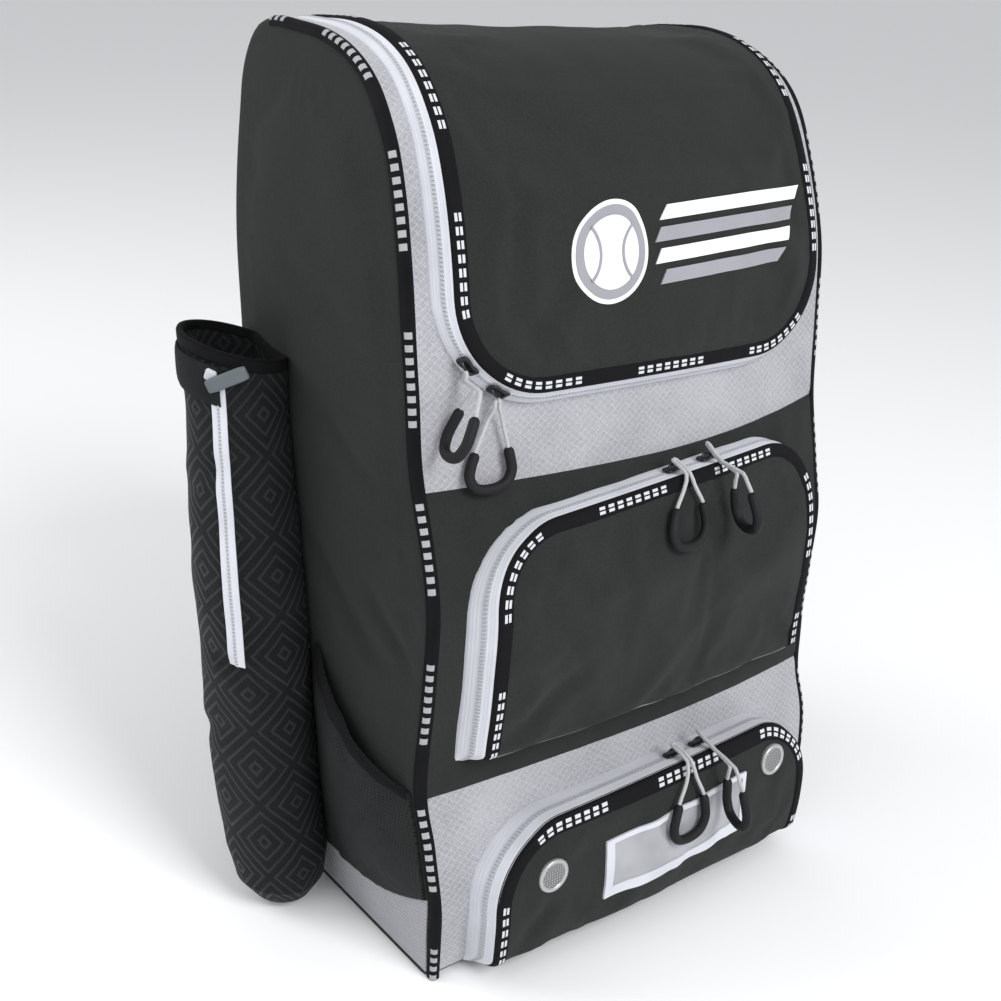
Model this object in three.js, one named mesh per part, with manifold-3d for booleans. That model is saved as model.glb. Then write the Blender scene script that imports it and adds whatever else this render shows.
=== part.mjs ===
/*
 * A baseball bat backpack that stands on its own base, in millimetres.
 * +Z is up, the front faces -Y, and the origin is the middle of the base.
 *
 * The bag's skin is one surface: a side outline that is carried across the width, with
 * rounded seams at both sides and low swells where the pockets are full. Every panel, flap,
 * zip tape and binding is a piece of that skin, cut out along the same pocket outlines.
 * A place on the skin is written [across, along]: across is X, and along is the length
 * of cloth from the front foot, up the front, over the top and down the back.
 */
import * as THREE from 'three';
import { mergeVertices } from 'three/addons/utils/BufferGeometryUtils.js';
import Module from 'manifold-3d';

const wasm = await Module();
wasm.setup();

// Body
const bagHeight = 613;
const bagWidth = 368;
const bagDepth = 250;
const wallThickness = 3;
const cornerRoll = 6;
const footRoll = 1.5;
const sideSwell = 4;
const frontCrown = 9;
const topSag = 7;
const sewnGap = 0.3;
const cornerRadius = wallThickness + cornerRoll;
const footRadius = wallThickness + footRoll;

// Cloth, tape and webbing
const flapThickness = 2.6;
const tapeThickness = 1.6;
const bindingWidth = 10;
const bindingRise = 1.4;
const meshThickness = 1.6;
const webbingWidth = 25;
const webbingThickness = 2.4;

// Side panels and pockets
const basePanelBack = 36;
const basePanelFront = 70;
const meshPocketBulge = 12;
const meshHemFront = 141;
const meshHemBack = 200;

// Bat sleeve on the left side
const sleeveHeight = 408;
const sleeveWidth = 77;
const sleeveDepth = 84;
const sleeveWall = 3;
const sleeveLift = 4;
const sleeveTopBack = 90;
const mouthRise = 16;
const sleeveZipWidth = 13;
const sleeveZipLength = 190;
const buckleWidth = 29;
const buckleHeight = 9;
const buckleDepth = 4;
const buckleTilt = 25;

// Zip sliders, and pulls that hang from them on a loop of cord
const sliderLength = 15;
const sliderWidth = 9;
const sliderHeight = 5;
const cordDiameter = 2.8;
const gripDiameter = 7;
const gripMouth = 24;
const gripLength = 26;
const cordSpread = 1.75;

// Small fittings on the lower flap. The vents are placed from the pocket's head and sides,
// and the window's place is shares of bagWidth and bagHeight.
const ventDiameter = 25.4;
const ventThickness = 2.4;
const ventSeat = 0.7;
const ventDrops = { left: 38, right: 28.3 };
const ventAside = 48.8;
const windowWidth = 138;
const windowHeight = 42;
const windowBorder = 7;
const windowAcross = 0.0245;
const windowCentre = 0.1077;
const windowTilt = 8;
const windowThickness = 1.4;

// Back of the bag. The straps' places across are shares of bagWidth.
const backPadWidth = 270;
const backPadThickness = 8;
const strapWidth = 58;
const strapThickness = 11;
const strapStandOff = 26;
const strapTopAcross = 0.15;
const strapLowAcross = 0.272;
const strapFootAcross = 0.38;
const handleWidth = 120;
const handleStandOff = 16;

// Heights on the back, as shares of bagHeight
const backPadTop = 0.85;
const backPadFoot = 0.12;
const strapTop = 0.85;
const strapFoot = 0.27;
const webbingFoot = 0.05;
const handleHeight = 0.92;

// The middle pocket inside: its front is a share of bagDepth
const middlePocketFront = -0.41;
const middlePocketDepth = 62;
const liningGap = 3;

// The bag from its left side, up the front, over the top and down the back.
// depth is a share of bagDepth behind the middle of the base, height of bagHeight.
const sideOutline = [
  { depth: -0.500, height: 0.0075 },
  { depth: -0.504, height: 0.090 },
  { depth: -0.472, height: 0.170 },
  { depth: -0.425, height: 0.222 },
  { depth: -0.412, height: 0.290 },
  { depth: -0.414, height: 0.370 },
  { depth: -0.410, height: 0.445 },
  { depth: -0.370, height: 0.512 },
  { depth: -0.312, height: 0.590 },
  { depth: -0.280, height: 0.680 },
  { depth: -0.238, height: 0.785 },
  { depth: -0.178, height: 0.862 },
  { depth: -0.110, height: 0.920 },
  { depth: -0.030, height: 0.958 },
  { depth: 0.070, height: 0.982 },
  { depth: 0.200, height: 0.996 },
  { depth: 0.340, height: 1.000 },
  { depth: 0.450, height: 1.000 },
  { depth: 0.545, height: 0.990 },
  { depth: 0.600, height: 0.958 },
  { depth: 0.628, height: 0.880 },
  { depth: 0.618, height: 0.760 },
  { depth: 0.590, height: 0.620 },
  { depth: 0.560, height: 0.400 },
  { depth: 0.515, height: 0.150 },
  { depth: 0.500, height: 0.0075 },
];

// Where the front's cross seams run, as shares of bagHeight at the left, middle and right.
const crossSeams = {
  upper: { left: 0.570, middle: 0.562, right: 0.592 },
  lower: { left: 0.226, middle: 0.226, right: 0.236 },
};

// The zipped openings. half is a share of bagWidth, head and foot are shares of bagHeight,
// slant is how far the right side stands higher than the left. The lid hangs from the
// back of the top, so its foot is given as a depth and its round end lies below. Each flap
// stands proud of the panel, and the zip tape is the wall between: gusset is how wide the
// wall is in the panel's plane at the sides, gussetHead at the round end, and footRoll is
// the length over which the flap comes back to the panel at its foot.
const pockets = {
  lid: {
    half: 0.456, head: 0.643, backEdge: 0.46, radius: 80, flapRadius: 64, slant: 0, footSlant: 0,
    proud: 13, gusset: 9, gussetHead: 10, footRoll: 300, belly: 6,
  },
  mid: {
    half: 0.430, head: 0.544, foot: 0.266, radius: 62, flapRadius: 50, slant: 24, footSlant: 4,
    proud: 20, gusset: 10, gussetHead: 5, footRoll: 12, belly: 5,
  },
  low: {
    half: 0.426, head: 0.188, foot: 0.0095, radius: 60, flapRadius: 54, slant: 8, footSlant: 0,
    proud: 27, gusset: 5, gussetHead: 4, footRoll: 20, belly: 4,
  },
};

// How far the full bag stands out beside its base, as shares of half its width.
const flares = [
  { height: 0.00, out: 0.000 },
  { height: 0.08, out: 0.012 },
  { height: 0.17, out: 0.030 },
  { height: 0.24, out: 0.032 },
  { height: 0.34, out: 0.014 },
  { height: 0.48, out: 0.010 },
  { height: 0.62, out: 0.024 },
  { height: 0.76, out: 0.033 },
  { height: 0.92, out: 0.012 },
  { height: 1.00, out: 0.000 },
];

// The sleeve from its bottom to its mouth. up is a share of its height, forward is how far
// its middle lies in front of the mouth's, and wide and deep are shares of its section.
const sleeveSections = [
  { up: 0.000, forward: 78, wide: 0.30, deep: 0.30 },
  { up: 0.012, forward: 76, wide: 0.56, deep: 0.54 },
  { up: 0.045, forward: 72, wide: 0.84, deep: 0.80 },
  { up: 0.100, forward: 66, wide: 0.96, deep: 0.93 },
  { up: 0.240, forward: 51, wide: 1.00, deep: 1.00 },
  { up: 0.400, forward: 38, wide: 1.02, deep: 1.01 },
  { up: 0.560, forward: 27, wide: 1.03, deep: 1.02 },
  { up: 0.700, forward: 17, wide: 1.00, deep: 0.98 },
  { up: 0.800, forward: 11, wide: 0.95, deep: 0.93 },
  { up: 0.900, forward: 5, wide: 0.92, deep: 0.90 },
  { up: 1.000, forward: 0, wide: 0.94, deep: 0.92 },
];

const colours = {
  cloth: ['#37383a', 0.9, 0],
  grey: ['#bdbcc6', 0.75, 0],
  tape: ['#e3e4ee', 0.7, 0],
  binding: ['#1b1c1f', 0.8, 0],
  mesh: ['#1d1f20', 0.9, 0],
  embossed: ['#17191b', 0.55, 0],
  webbing: ['#202124', 0.85, 0],
  metal: ['#3a3b3e', 0.35, 0.9],
  moulded: ['#151618', 0.5, 0],
  cord: ['#d9dadc', 0.8, 0],
  clear: ['#c9cccf', 0.25, 0],
  buckle: ['#8f9396', 0.45, 0],
  vent: ['#a9aaac', 0.4, 0.6],
};

/** A material in one of the named colours. */
function finish(name) {
  const [color, roughness, metalness] = colours[name];
  return new THREE.MeshStandardMaterial({ color, roughness, metalness });
}

const bag = new THREE.Group();

/** Adds a closed geometry to the bag as one named piece. */
function addPiece(name, geometry, finishName) {
  const mesh = new THREE.Mesh(geometry, finish(finishName));
  mesh.name = name;
  bag.add(mesh);
  return mesh;
}

// The side outline as a curve measured by its own length

const outlineCurve = new THREE.CatmullRomCurve3(
  sideOutline.map((row) => new THREE.Vector3(0, row.depth * bagDepth, row.height * bagHeight)),
  false,
  'centripetal',
);
const outlineSteps = 600;
outlineCurve.arcLengthDivisions = outlineSteps * 2;
const clothLength = outlineCurve.getLength();
const outlinePoints = outlineCurve.getSpacedPoints(outlineSteps);

const outlineOuts = outlinePoints.map((_, i) => {
  const before = outlinePoints[Math.max(i - 1, 0)];
  const after = outlinePoints[Math.min(i + 1, outlineSteps)];
  return new THREE.Vector3(0, before.z - after.z, after.y - before.y).normalize();
});

/** The outline's point and outward direction at a length of cloth from the front foot. */
function outlineAt(along) {
  if (along < 0) {
    return { y: outlinePoints[0].y, z: outlinePoints[0].z + along, outY: -1, outZ: 0 };
  }
  const t = THREE.MathUtils.clamp((along / clothLength) * outlineSteps, 0, outlineSteps);
  const i = Math.min(Math.floor(t), outlineSteps - 1);
  const p = outlinePoints[i].clone().lerp(outlinePoints[i + 1], t - i);
  const out = outlineOuts[i].clone().lerp(outlineOuts[i + 1], t - i).normalize();
  return { y: p.y, z: p.z, outY: out.y, outZ: out.z };
}

/** The length of cloth at which the front first reaches a height. */
function alongAtHeight(z) {
  const i = outlinePoints.findIndex((p) => p.z >= z);
  return (Math.max(i, 0) / outlineSteps) * clothLength;
}

/** The length of cloth at which the top reaches a depth behind the middle of the base. */
function alongAtDepth(y) {
  const i = outlinePoints.findIndex((p) => p.z > bagHeight * 0.9 && p.y >= y);
  return (i / outlineSteps) * clothLength;
}

const topIndex = outlinePoints.findIndex((p) => p.y >= 0.34 * bagDepth);

/** How far forward the front is, and how far back the back is, at a height. */
function depthRange(z) {
  const front = outlinePoints.slice(0, topIndex).find((p) => p.z >= z) ?? outlinePoints[topIndex];
  const back = outlinePoints.slice(topIndex).find((p) => p.z <= z) ?? outlinePoints.at(-1);
  return [front.y, back.y];
}

const lidEnd = alongAtDepth(pockets.lid.backEdge * bagDepth);
const topMiddle = alongAtDepth(0.2 * bagDepth);

// Swells of the skin

/** A low dome: 1 in the middle of -1 to 1 and 0 outside it, flatter for a higher power. */
function dome(u, power) {
  return Math.max(0, 1 - Math.abs(u) ** power);
}

for (const [name, pocket] of Object.entries(pockets)) {
  pocket.halfWidth = pocket.half * bagWidth;
  pocket.headAlong = alongAtHeight(pocket.head * bagHeight);
  pocket.footAlong = name === 'lid' ? lidEnd : alongAtHeight(pocket.foot * bagHeight);
  pocket.towards = Math.sign(pocket.headAlong - pocket.footAlong);
  pocket.slantFrom = pocket.footAlong;
}

/** How far the full bag's skin stands out from its side outline at a place. */
function swell(x, along) {
  const across = (2 * x) / bagWidth;
  const crown = frontCrown * dome(across, 2) * dome((2 * along) / lidEnd - 1, 6);
  const fromTop = (along - topMiddle) / (0.2 * bagHeight);
  return crown - topSag * dome(across, 2) * Math.exp(-(fromTop ** 2));
}

/** How much wider than its base the bag is at a height. */
function girth(z) {
  const share = THREE.MathUtils.clamp(z / bagHeight, 0, 0.999);
  const i = flares.findIndex((row) => row.height > share);
  const [a, b] = [flares[i - 1], flares[i]];
  const t = (share - a.height) / (b.height - a.height);
  return 1 + THREE.MathUtils.lerp(a.out, b.out, t * t * (3 - 2 * t));
}

/** A point of the skin, a height above it. */
function skin(x, along, above = 0) {
  const { y, z, outY, outZ } = outlineAt(along);
  const out = swell(x, along) + above;
  return new THREE.Vector3(x * girth(z), y + outY * out, z + outZ * out);
}

/** A point on a side seam's rounding: turn is 0 on the front and 90 on the side panel. */
function seamPoint(side, turn, along, above = 0) {
  const angle = THREE.MathUtils.degToRad(turn);
  const reach = cornerRadius + above;
  const x = side * (bagWidth / 2 - cornerRadius + reach * Math.sin(angle));
  const { y, z, outY, outZ } = outlineAt(along);
  const out = swell(x, along) * Math.cos(angle) + reach * Math.cos(angle) - cornerRadius;
  return new THREE.Vector3(x * girth(z), y + outY * out, z + outZ * out);
}

/** How far a side panel stands out at a place on it. */
function sideBulge(y, z) {
  const [front, back] = depthRange(z);
  const u = (y - front - cornerRadius) / (back - front - 2 * cornerRadius);
  const v = (z - cornerRadius) / (bagHeight - 2 * cornerRadius);
  const inside = (t) => Math.sin(Math.PI * THREE.MathUtils.clamp(t, 0, 1)) ** 0.7;
  return sideSwell * inside(u) * inside(v);
}

/** The X of a side panel's face, a height above it. */
function sideX(side, y, z, above = 0) {
  return side * ((bagWidth / 2) * girth(z) + sideBulge(y, z) + above);
}

// Closed solids from grids of points

/** The volume that a geometry's triangles enclose, below zero when they face inwards. */
function signedVolume(points, triangles) {
  let sum = 0;
  for (const [a, b, c] of triangles) {
    sum += points[a].dot(new THREE.Vector3().crossVectors(points[b], points[c]));
  }
  return sum / 6;
}

/** A closed geometry from points and triangles, turned to face outwards. */
function closedGeometry(points, triangles) {
  const faces = signedVolume(points, triangles) < 0
    ? triangles.map(([a, b, c]) => [a, c, b])
    : triangles;
  const geometry = new THREE.BufferGeometry();
  geometry.setAttribute(
    'position',
    new THREE.Float32BufferAttribute(points.flatMap((p) => [p.x, p.y, p.z]), 3),
  );
  geometry.setIndex(faces.flat());
  return dropSlivers(mergeVertices(geometry, 1e-4));
}

/** Takes out the triangles that lost an edge when close points were merged. */
function dropSlivers(geometry) {
  const index = Array.from(geometry.getIndex().array);
  const kept = [];
  for (let i = 0; i < index.length; i += 3) {
    const [a, b, c] = index.slice(i, i + 3);
    if (a !== b && b !== c && c !== a) {
      kept.push(a, b, c);
    }
  }
  geometry.setIndex(kept);
  return geometry;
}

/** The solid between two grids of points of the same size, closed round their edges. */
function solidBetween(over, under) {
  const rows = over.length;
  const columns = over[0].length;
  const points = [...over.flat(), ...under.flat()];
  const at = (layer, i, j) => layer * rows * columns + i * columns + j;
  const triangles = [];
  const quad = (a, b, c, d) => triangles.push([a, b, c], [a, c, d]);
  for (let i = 0; i < rows - 1; i += 1) {
    for (let j = 0; j < columns - 1; j += 1) {
      quad(at(0, i, j), at(0, i, j + 1), at(0, i + 1, j + 1), at(0, i + 1, j));
      quad(at(1, i, j), at(1, i + 1, j), at(1, i + 1, j + 1), at(1, i, j + 1));
    }
    quad(at(0, i, 0), at(0, i + 1, 0), at(1, i + 1, 0), at(1, i, 0));
    const last = columns - 1;
    quad(at(0, i, last), at(1, i, last), at(1, i + 1, last), at(0, i + 1, last));
  }
  for (let j = 0; j < columns - 1; j += 1) {
    quad(at(0, 0, j), at(1, 0, j), at(1, 0, j + 1), at(0, 0, j + 1));
    const last = rows - 1;
    quad(at(0, last, j), at(0, last, j + 1), at(1, last, j + 1), at(1, last, j));
  }
  return closedGeometry(points, triangles);
}

/** A piece of cloth on the skin, or on a pocket: places is a grid of [across, along]. */
function skinPiece(places, under, over, pocket = null) {
  const lift = (x, s) => (pocket === null ? 0 : rise(pocket, x, s));
  const layer = (above) => (
    places.map((row) => row.map(([x, s]) => skin(x, s, above + lift(x, s))))
  );
  return solidBetween(layer(over), layer(under));
}

/** A closed solid through a stack of rings, with a point at each end. */
function stackedSolid(rings, firstPole, lastPole) {
  const size = rings[0].length;
  const points = [...rings.flat(), firstPole, lastPole];
  const first = points.length - 2;
  const last = points.length - 1;
  const triangles = [];
  const base = (rings.length - 1) * size;
  for (let j = 0; j < size; j += 1) {
    const k = (j + 1) % size;
    for (let i = 0; i < rings.length - 1; i += 1) {
      const a = i * size;
      triangles.push([a + j, a + k, a + size + k], [a + j, a + size + k, a + size + j]);
    }
    triangles.push([first, k, j], [last, base + j, base + k]);
  }
  return closedGeometry(points, triangles);
}

/** A box between two corners. */
function boxBetween(low, high) {
  const size = low.map((v, i) => high[i] - v);
  const box = new THREE.BoxGeometry(...size);
  return box.translate(...low.map((v, i) => v + size[i] / 2));
}

/** A geometry with its corners merged and nothing but positions. */
function mergeBare(geometry) {
  const bare = geometry.clone();
  bare.deleteAttribute('normal');
  bare.deleteAttribute('uv');
  return dropSlivers(mergeVertices(bare, 1e-4));
}

/** A geometry as a solid that can be joined and cut. */
function asSolid(geometry) {
  const merged = mergeBare(geometry);
  return new wasm.Manifold(new wasm.Mesh({
    numProp: 3,
    vertProperties: new Float32Array(merged.getAttribute('position').array),
    triVerts: new Uint32Array(merged.getIndex().array),
  }));
}

/** A cut or joined solid as a geometry again. */
function asGeometry(solid) {
  const { vertProperties, triVerts } = solid.getMesh();
  const geometry = new THREE.BufferGeometry();
  geometry.setAttribute('position', new THREE.BufferAttribute(vertProperties, 3));
  geometry.setIndex(new THREE.BufferAttribute(triVerts, 1));
  return geometry;
}

/** Numbers from a to b in even steps no longer than step. */
function evenly(a, b, step) {
  const count = Math.max(1, Math.ceil(Math.abs(b - a) / step));
  return Array.from({ length: count + 1 }, (_, i) => a + ((b - a) * i) / count);
}

// The pockets' outlines on the skin

const rowStep = 30;
const seamStep = 38;
const backStep = 70;
const arcSteps = 6;

/** How far an inset moves the round end of an outline. */
function headInset(pocket, inset) {
  const { gusset, gussetHead } = pocket;
  return inset < gusset ? (inset * gussetHead) / gusset : gussetHead + inset - gusset;
}

/** The corner radius of a pocket's outline at an inset. */
function cornerAt(pocket, inset) {
  const { gusset, radius, flapRadius } = pocket;
  return inset < gusset
    ? THREE.MathUtils.lerp(radius, flapRadius, inset / gusset)
    : flapRadius + gusset - inset;
}

/** Half of a pocket's outline, from the foot of one leg to the end of its corner. */
function halfOutline(pocket, inset) {
  const { halfWidth, headAlong, footAlong, footRoll, towards, radius } = pocket;
  const half = halfWidth - inset;
  const corner = cornerAt(pocket, inset);
  const turn = headAlong - towards * (headInset(pocket, inset) + corner);
  const legRows = Math.ceil((Math.abs(headAlong - footAlong) - radius) / rowStep);
  const legFrom = footAlong + towards * Math.min(footRoll, rowStep);
  const leg = Array.from({ length: legRows }, (_, i) => (
    THREE.MathUtils.lerp(legFrom, turn, i / (legRows - 1))
  ));
  const arc = evenly(0, 90, 90 / arcSteps).slice(1).map((degrees) => {
    const a = THREE.MathUtils.degToRad(degrees);
    return [half - corner + corner * Math.cos(a), turn + towards * corner * Math.sin(a)];
  });
  return [...[footAlong, ...leg].map((s) => [half, s]), ...arc];
}

/** How far inside a pocket's outline a place lies, 0 on it and up to its gusset. */
function insetAt(pocket, x, s) {
  const { halfWidth, headAlong, gusset, towards } = pocket;
  let [low, high] = [0, gusset];
  for (let i = 0; i < 16; i += 1) {
    const inset = (low + high) / 2;
    const corner = cornerAt(pocket, inset);
    const u = (Math.abs(x) - halfWidth + inset + corner) / corner;
    const v = (towards * (s - headAlong) + headInset(pocket, inset) + corner) / corner;
    const outside = u > 0 && v > 0 ? Math.hypot(u, v) > 1 : Math.max(u, v) > 1;
    [low, high] = outside ? [low, inset] : [inset, high];
  }
  return (low + high) / 2;
}

/** A curve from 0 to 1 that starts steep and ends level. */
function easeOut(t) {
  const rest = 1 - THREE.MathUtils.clamp(t, 0, 1);
  return 1 - rest * rest;
}

/** The inset at which a zip tape starts, a gap away from the panel all round. */
function tapeInset({ gusset, gussetHead }) {
  return 2 * sewnGap * Math.max(1, gusset / gussetHead);
}

/** How far a pocket's cloth stands proud of the skin at a place. */
function rise(pocket, x, along) {
  const { halfWidth, headAlong, footAlong, gusset, footRoll, proud, belly } = pocket;
  const { slant, footSlant, slantFrom, towards } = pocket;
  const aside = x / (2 * halfWidth);
  const stretch = 1 + (aside * (slant - footSlant)) / (headAlong - slantFrom);
  const s = slantFrom + (along - slantFrom - aside * footSlant) / stretch;
  const fromFoot = Math.max(0, ((s - footAlong) * towards) / footRoll);
  const wall = Math.min(insetAt(pocket, x, s) / gusset, 1);
  const up = (2 * (s - footAlong)) / (headAlong - footAlong) - 1;
  const full = belly * dome(x / halfWidth, 2) * dome(up, 2);
  return proud * wall * easeOut(fromFoot) + full;
}

/** Raises a pocket's places towards its right side. */
function slanted(pocket, [x, s]) {
  const { halfWidth, headAlong, slantFrom, slant, footSlant } = pocket;
  const up = (s - slantFrom) / (headAlong - slantFrom);
  return [x, s + (THREE.MathUtils.lerp(footSlant, slant, up) * x) / (2 * halfWidth)];
}

/** A pocket with its legs cut short at the foot by a margin. */
function shortened(pocket, margin) {
  return { ...pocket, footAlong: pocket.footAlong + pocket.towards * margin };
}

/** The whole outline, up one leg, along the head and down the other leg. */
function pocketOutline(pocket, inset) {
  const right = halfOutline(pocket, inset);
  const [x, s] = right.at(-1);
  const head = evenly(-x, x, 45).slice(1, -1).map((u) => [u, s]);
  const left = right.map(([u, v]) => [-u, v]);
  return [...left, ...head, ...right.reverse()].map((place) => slanted(pocket, place));
}

/** A grid that fills a pocket's outline. */
function pocketFill(pocket, inset, columns = 6) {
  return halfOutline(pocket, inset).map(([half, s]) => (
    Array.from({ length: columns + 1 }, (_, j) => (
      slanted(pocket, [half * ((2 * j) / columns - 1), s])
    ))
  ));
}

/** A band along a pocket's outline, between two insets. */
function pocketBand(pocket, outer, inner, columns = 1) {
  const edges = Array.from({ length: columns + 1 }, (_, k) => (
    pocketOutline(pocket, outer + ((inner - outer) * k) / columns)
  ));
  return edges[0].map((_, i) => edges.map((edge) => edge[i]));
}

// Body: sides, back and base in one shell

const panelTurn = 20;
const panelRoll = cornerRadius * (1 - Math.sin(THREE.MathUtils.degToRad(panelTurn)));
const panelHalf = bagWidth / 2 - panelRoll;
const panelFoot = 2;
const capShares = [0.6];
const capMiddle = { depth: 0.1, height: 0.45 };
const seamRows = evenly(0, lidEnd, seamStep);
const skinRows = [
  ...seamRows,
  ...evenly(lidEnd, lidEnd + 0.2 * bagDepth, seamStep / 2).slice(1),
  ...evenly(lidEnd + 0.2 * bagDepth, clothLength, backStep).slice(1),
];

/** One ring round the body, an inset inside its skin: over the front, top, back and base. */
function bodyRing(side, turn, x, inset) {
  const at = (s) => (turn === 0 ? skin(x, s, -inset) : seamPoint(side, turn, s, -inset));
  const ring = skinRows.map(at);
  const roll = footRadius - inset;
  const [front, back] = [ring[0], ring.at(-1)];
  const foot = (from, way) => [30, 60, 90].map((degrees) => {
    const a = THREE.MathUtils.degToRad(degrees);
    const down = inset + roll * (1 - Math.sin(a));
    return new THREE.Vector3(from.x, from.y + way * roll * (1 - Math.cos(a)), down);
  });
  const base = new THREE.Vector3(front.x, (front.y + back.y) / 2, inset);
  return [...ring, ...foot(back, -1), base, ...foot(front, 1).reverse()];
}

/** The body's whole volume, an inset inside its skin. */
function bodySolid(inset) {
  const middle = new THREE.Vector3(0, capMiddle.depth * bagDepth, capMiddle.height * bagHeight);
  const flat = bagWidth / 2 - cornerRadius;
  const rings = [];
  const cap = (side) => {
    const edge = bodyRing(side, 90, 0, inset);
    const shrink = (p, share) => {
      const y = THREE.MathUtils.lerp(middle.y, p.y, share);
      const z = THREE.MathUtils.lerp(middle.z, p.z, share);
      return new THREE.Vector3(sideX(side, y, z, -inset), y, z);
    };
    return {
      pole: shrink(middle, 0),
      rings: [edge, ...capShares.map((share) => edge.map((p) => shrink(p, share)))],
    };
  };
  const leftCap = cap(-1);
  const rightCap = cap(1);
  rings.push(...leftCap.rings.reverse());
  rings.push(bodyRing(-1, 45, 0, inset));
  for (const share of [-1, 0, 1]) {
    rings.push(bodyRing(0, 0, share * flat, inset));
  }
  rings.push(bodyRing(1, 45, 0, inset));
  rings.push(...rightCap.rings);
  return asSolid(stackedSolid(rings, leftCap.pole, rightCap.pole));
}

/** A grid over the front and top between two lines across the bag. */
function frontGrid(lowAt, highAt, half, step = seamStep) {
  const columns = evenly(-half, half, 62);
  const rows = Math.max(1, Math.ceil((highAt(0) - lowAt(0)) / step));
  return Array.from({ length: rows + 1 }, (_, i) => columns.map((x) => (
    [x, THREE.MathUtils.lerp(lowAt(x), highAt(x), i / rows)]
  )));
}

/** The length of cloth to a cross seam at a place across the bag. */
function seamAlong(seam, x) {
  const u = (2 * x) / bagWidth;
  const share = u < 0
    ? seam.middle + (seam.left - seam.middle) * u * u
    : seam.middle + (seam.right - seam.middle) * u * u;
  return alongAtHeight(share * bagHeight);
}

const outside = bodySolid(0);
const inside = bodySolid(wallThickness);
const shell = outside.subtract(inside);
const cutterReach = 30;
const frontCutter = asSolid(skinPiece(
  frontGrid(() => panelFoot, () => lidEnd, panelHalf),
  -wallThickness - cornerRoll / 2,
  cutterReach,
));

/** A flat outline in the side view, carried across the bag between two X values. */
function sidePrism(outline, fromX, toX) {
  const shape = new THREE.Shape(outline.map(([y, z]) => new THREE.Vector2(y, z)));
  const prism = new THREE.ExtrudeGeometry(shape, { depth: toX - fromX, bevelEnabled: false });
  prism.rotateX(Math.PI / 2).rotateZ(Math.PI / 2);
  return asSolid(prism.translate(fromX, 0, 0));
}

/** The height of the grey base panel's upper edge, which climbs towards the front. */
function basePanelTop(y) {
  const forward = THREE.MathUtils.clamp(-y / (0.5 * bagDepth), 0, 1);
  return basePanelBack + (basePanelFront - basePanelBack) * forward ** 2.2;
}

/** The grey base panel's outline on the side, shrunk by a margin. */
function basePanelOutline(margin) {
  const low = footRadius + margin;
  const [front, back] = depthRange(low);
  const from = front + cornerRadius * 0.75 + margin;
  const to = back - cornerRadius - margin;
  const upper = evenly(to, from, 24).map((y) => [y, basePanelTop(y) - margin]);
  return [[from, low], [to, low], ...upper];
}

/** The side wall's cloth inside a flat outline of the side view. */
function sideCut(side, outline) {
  const outer = bagWidth / 2 + sideSwell + cutterReach;
  const inner = bagWidth / 2 - cornerRadius;
  return side < 0 ? sidePrism(outline, -outer, -inner) : sidePrism(outline, inner, outer);
}

let body = shell.subtract(frontCutter);
for (const [side, name] of [[-1, 'left'], [1, 'right']]) {
  body = body.subtract(sideCut(side, basePanelOutline(0)));
  const panel = shell.intersect(sideCut(side, basePanelOutline(sewnGap)));
  addPiece(`base_panel_${name}`, asGeometry(panel), 'grey');
}
addPiece('body_shell', asGeometry(body), 'cloth');

// Front panels, each cut out round its pocket

/** A front panel's cloth between two lines across the bag, with the pockets cut out. */
function frontPanel(lowAt, highAt, cutPockets) {
  const grid = frontGrid(
    (x) => lowAt(x) + sewnGap / 2,
    (x) => highAt(x) - sewnGap / 2,
    panelHalf - sewnGap,
  );
  let panel = asSolid(skinPiece(grid, -wallThickness, 0));
  for (const pocket of cutPockets) {
    const open = pocket === pockets.mid ? pocket : shortened(pocket, -cutterReach / 2);
    const hole = skinPiece(pocketFill(open, 0), -3 * wallThickness, 3 * wallThickness);
    panel = panel.subtract(asSolid(hole));
  }
  return asGeometry(panel);
}

const upperSeam = (x) => seamAlong(crossSeams.upper, x);
const lowerSeam = (x) => seamAlong(crossSeams.lower, x);
addPiece('panel_upper', frontPanel(upperSeam, () => lidEnd - sewnGap, [pockets.lid]), 'grey');
addPiece('panel_middle', frontPanel(lowerSeam, upperSeam, [pockets.mid]), 'cloth');
addPiece('panel_lower', frontPanel(() => panelFoot + sewnGap, lowerSeam, [pockets.low]), 'grey');

// The lid and the two pocket flaps: each has a zip tape, a binding and a flap

for (const [name, whole] of Object.entries(pockets)) {
  const pocket = shortened(whole, sewnGap);
  const steepness = Math.hypot(1, pocket.proud / pocket.gusset);
  const bindingFrom = pocket.gusset + sewnGap;
  const flapFrom = bindingFrom + bindingWidth + sewnGap;
  const tapePlaces = pocketBand(pocket, tapeInset(pocket), pocket.gusset);
  const bindingPlaces = pocketBand(pocket, bindingFrom, flapFrom - sewnGap);
  const flapPlaces = pocketFill(pocket, flapFrom);
  const pieces = [
    ['zip_tape', tapePlaces, -tapeThickness * steepness, 0, 'tape'],
    ['binding', bindingPlaces, -flapThickness, bindingRise, 'binding'],
    ['flap', flapPlaces, -flapThickness, 0, 'cloth'],
  ];
  for (const [piece, places, under, over, finishName] of pieces) {
    addPiece(`${name}_${piece}`, skinPiece(places, under, over, pocket), finishName);
  }
}

// Corded bindings down both side seams, from the back of the top to the foot

const pipingTurns = [20, 45, 70];
const pipingRises = [1.2, 2.8, 1.2];
for (const [side, name] of [[-1, 'left'], [1, 'right']]) {
  const footAlong = sewnGap * 2 - outlinePoints[0].z;
  const layer = (rises) => [footAlong, ...seamRows].map((s) => (
    pipingTurns.map((turn, i) => seamPoint(side, turn, s, rises[i]))
  ));
  const seated = pipingTurns.map(() => sewnGap);
  addPiece(`side_binding_${name}`, solidBetween(layer(pipingRises), layer(seated)), 'binding');
}

// Mesh pockets on both sides, sewn along the front, the foot and the back, open at the hem

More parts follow.
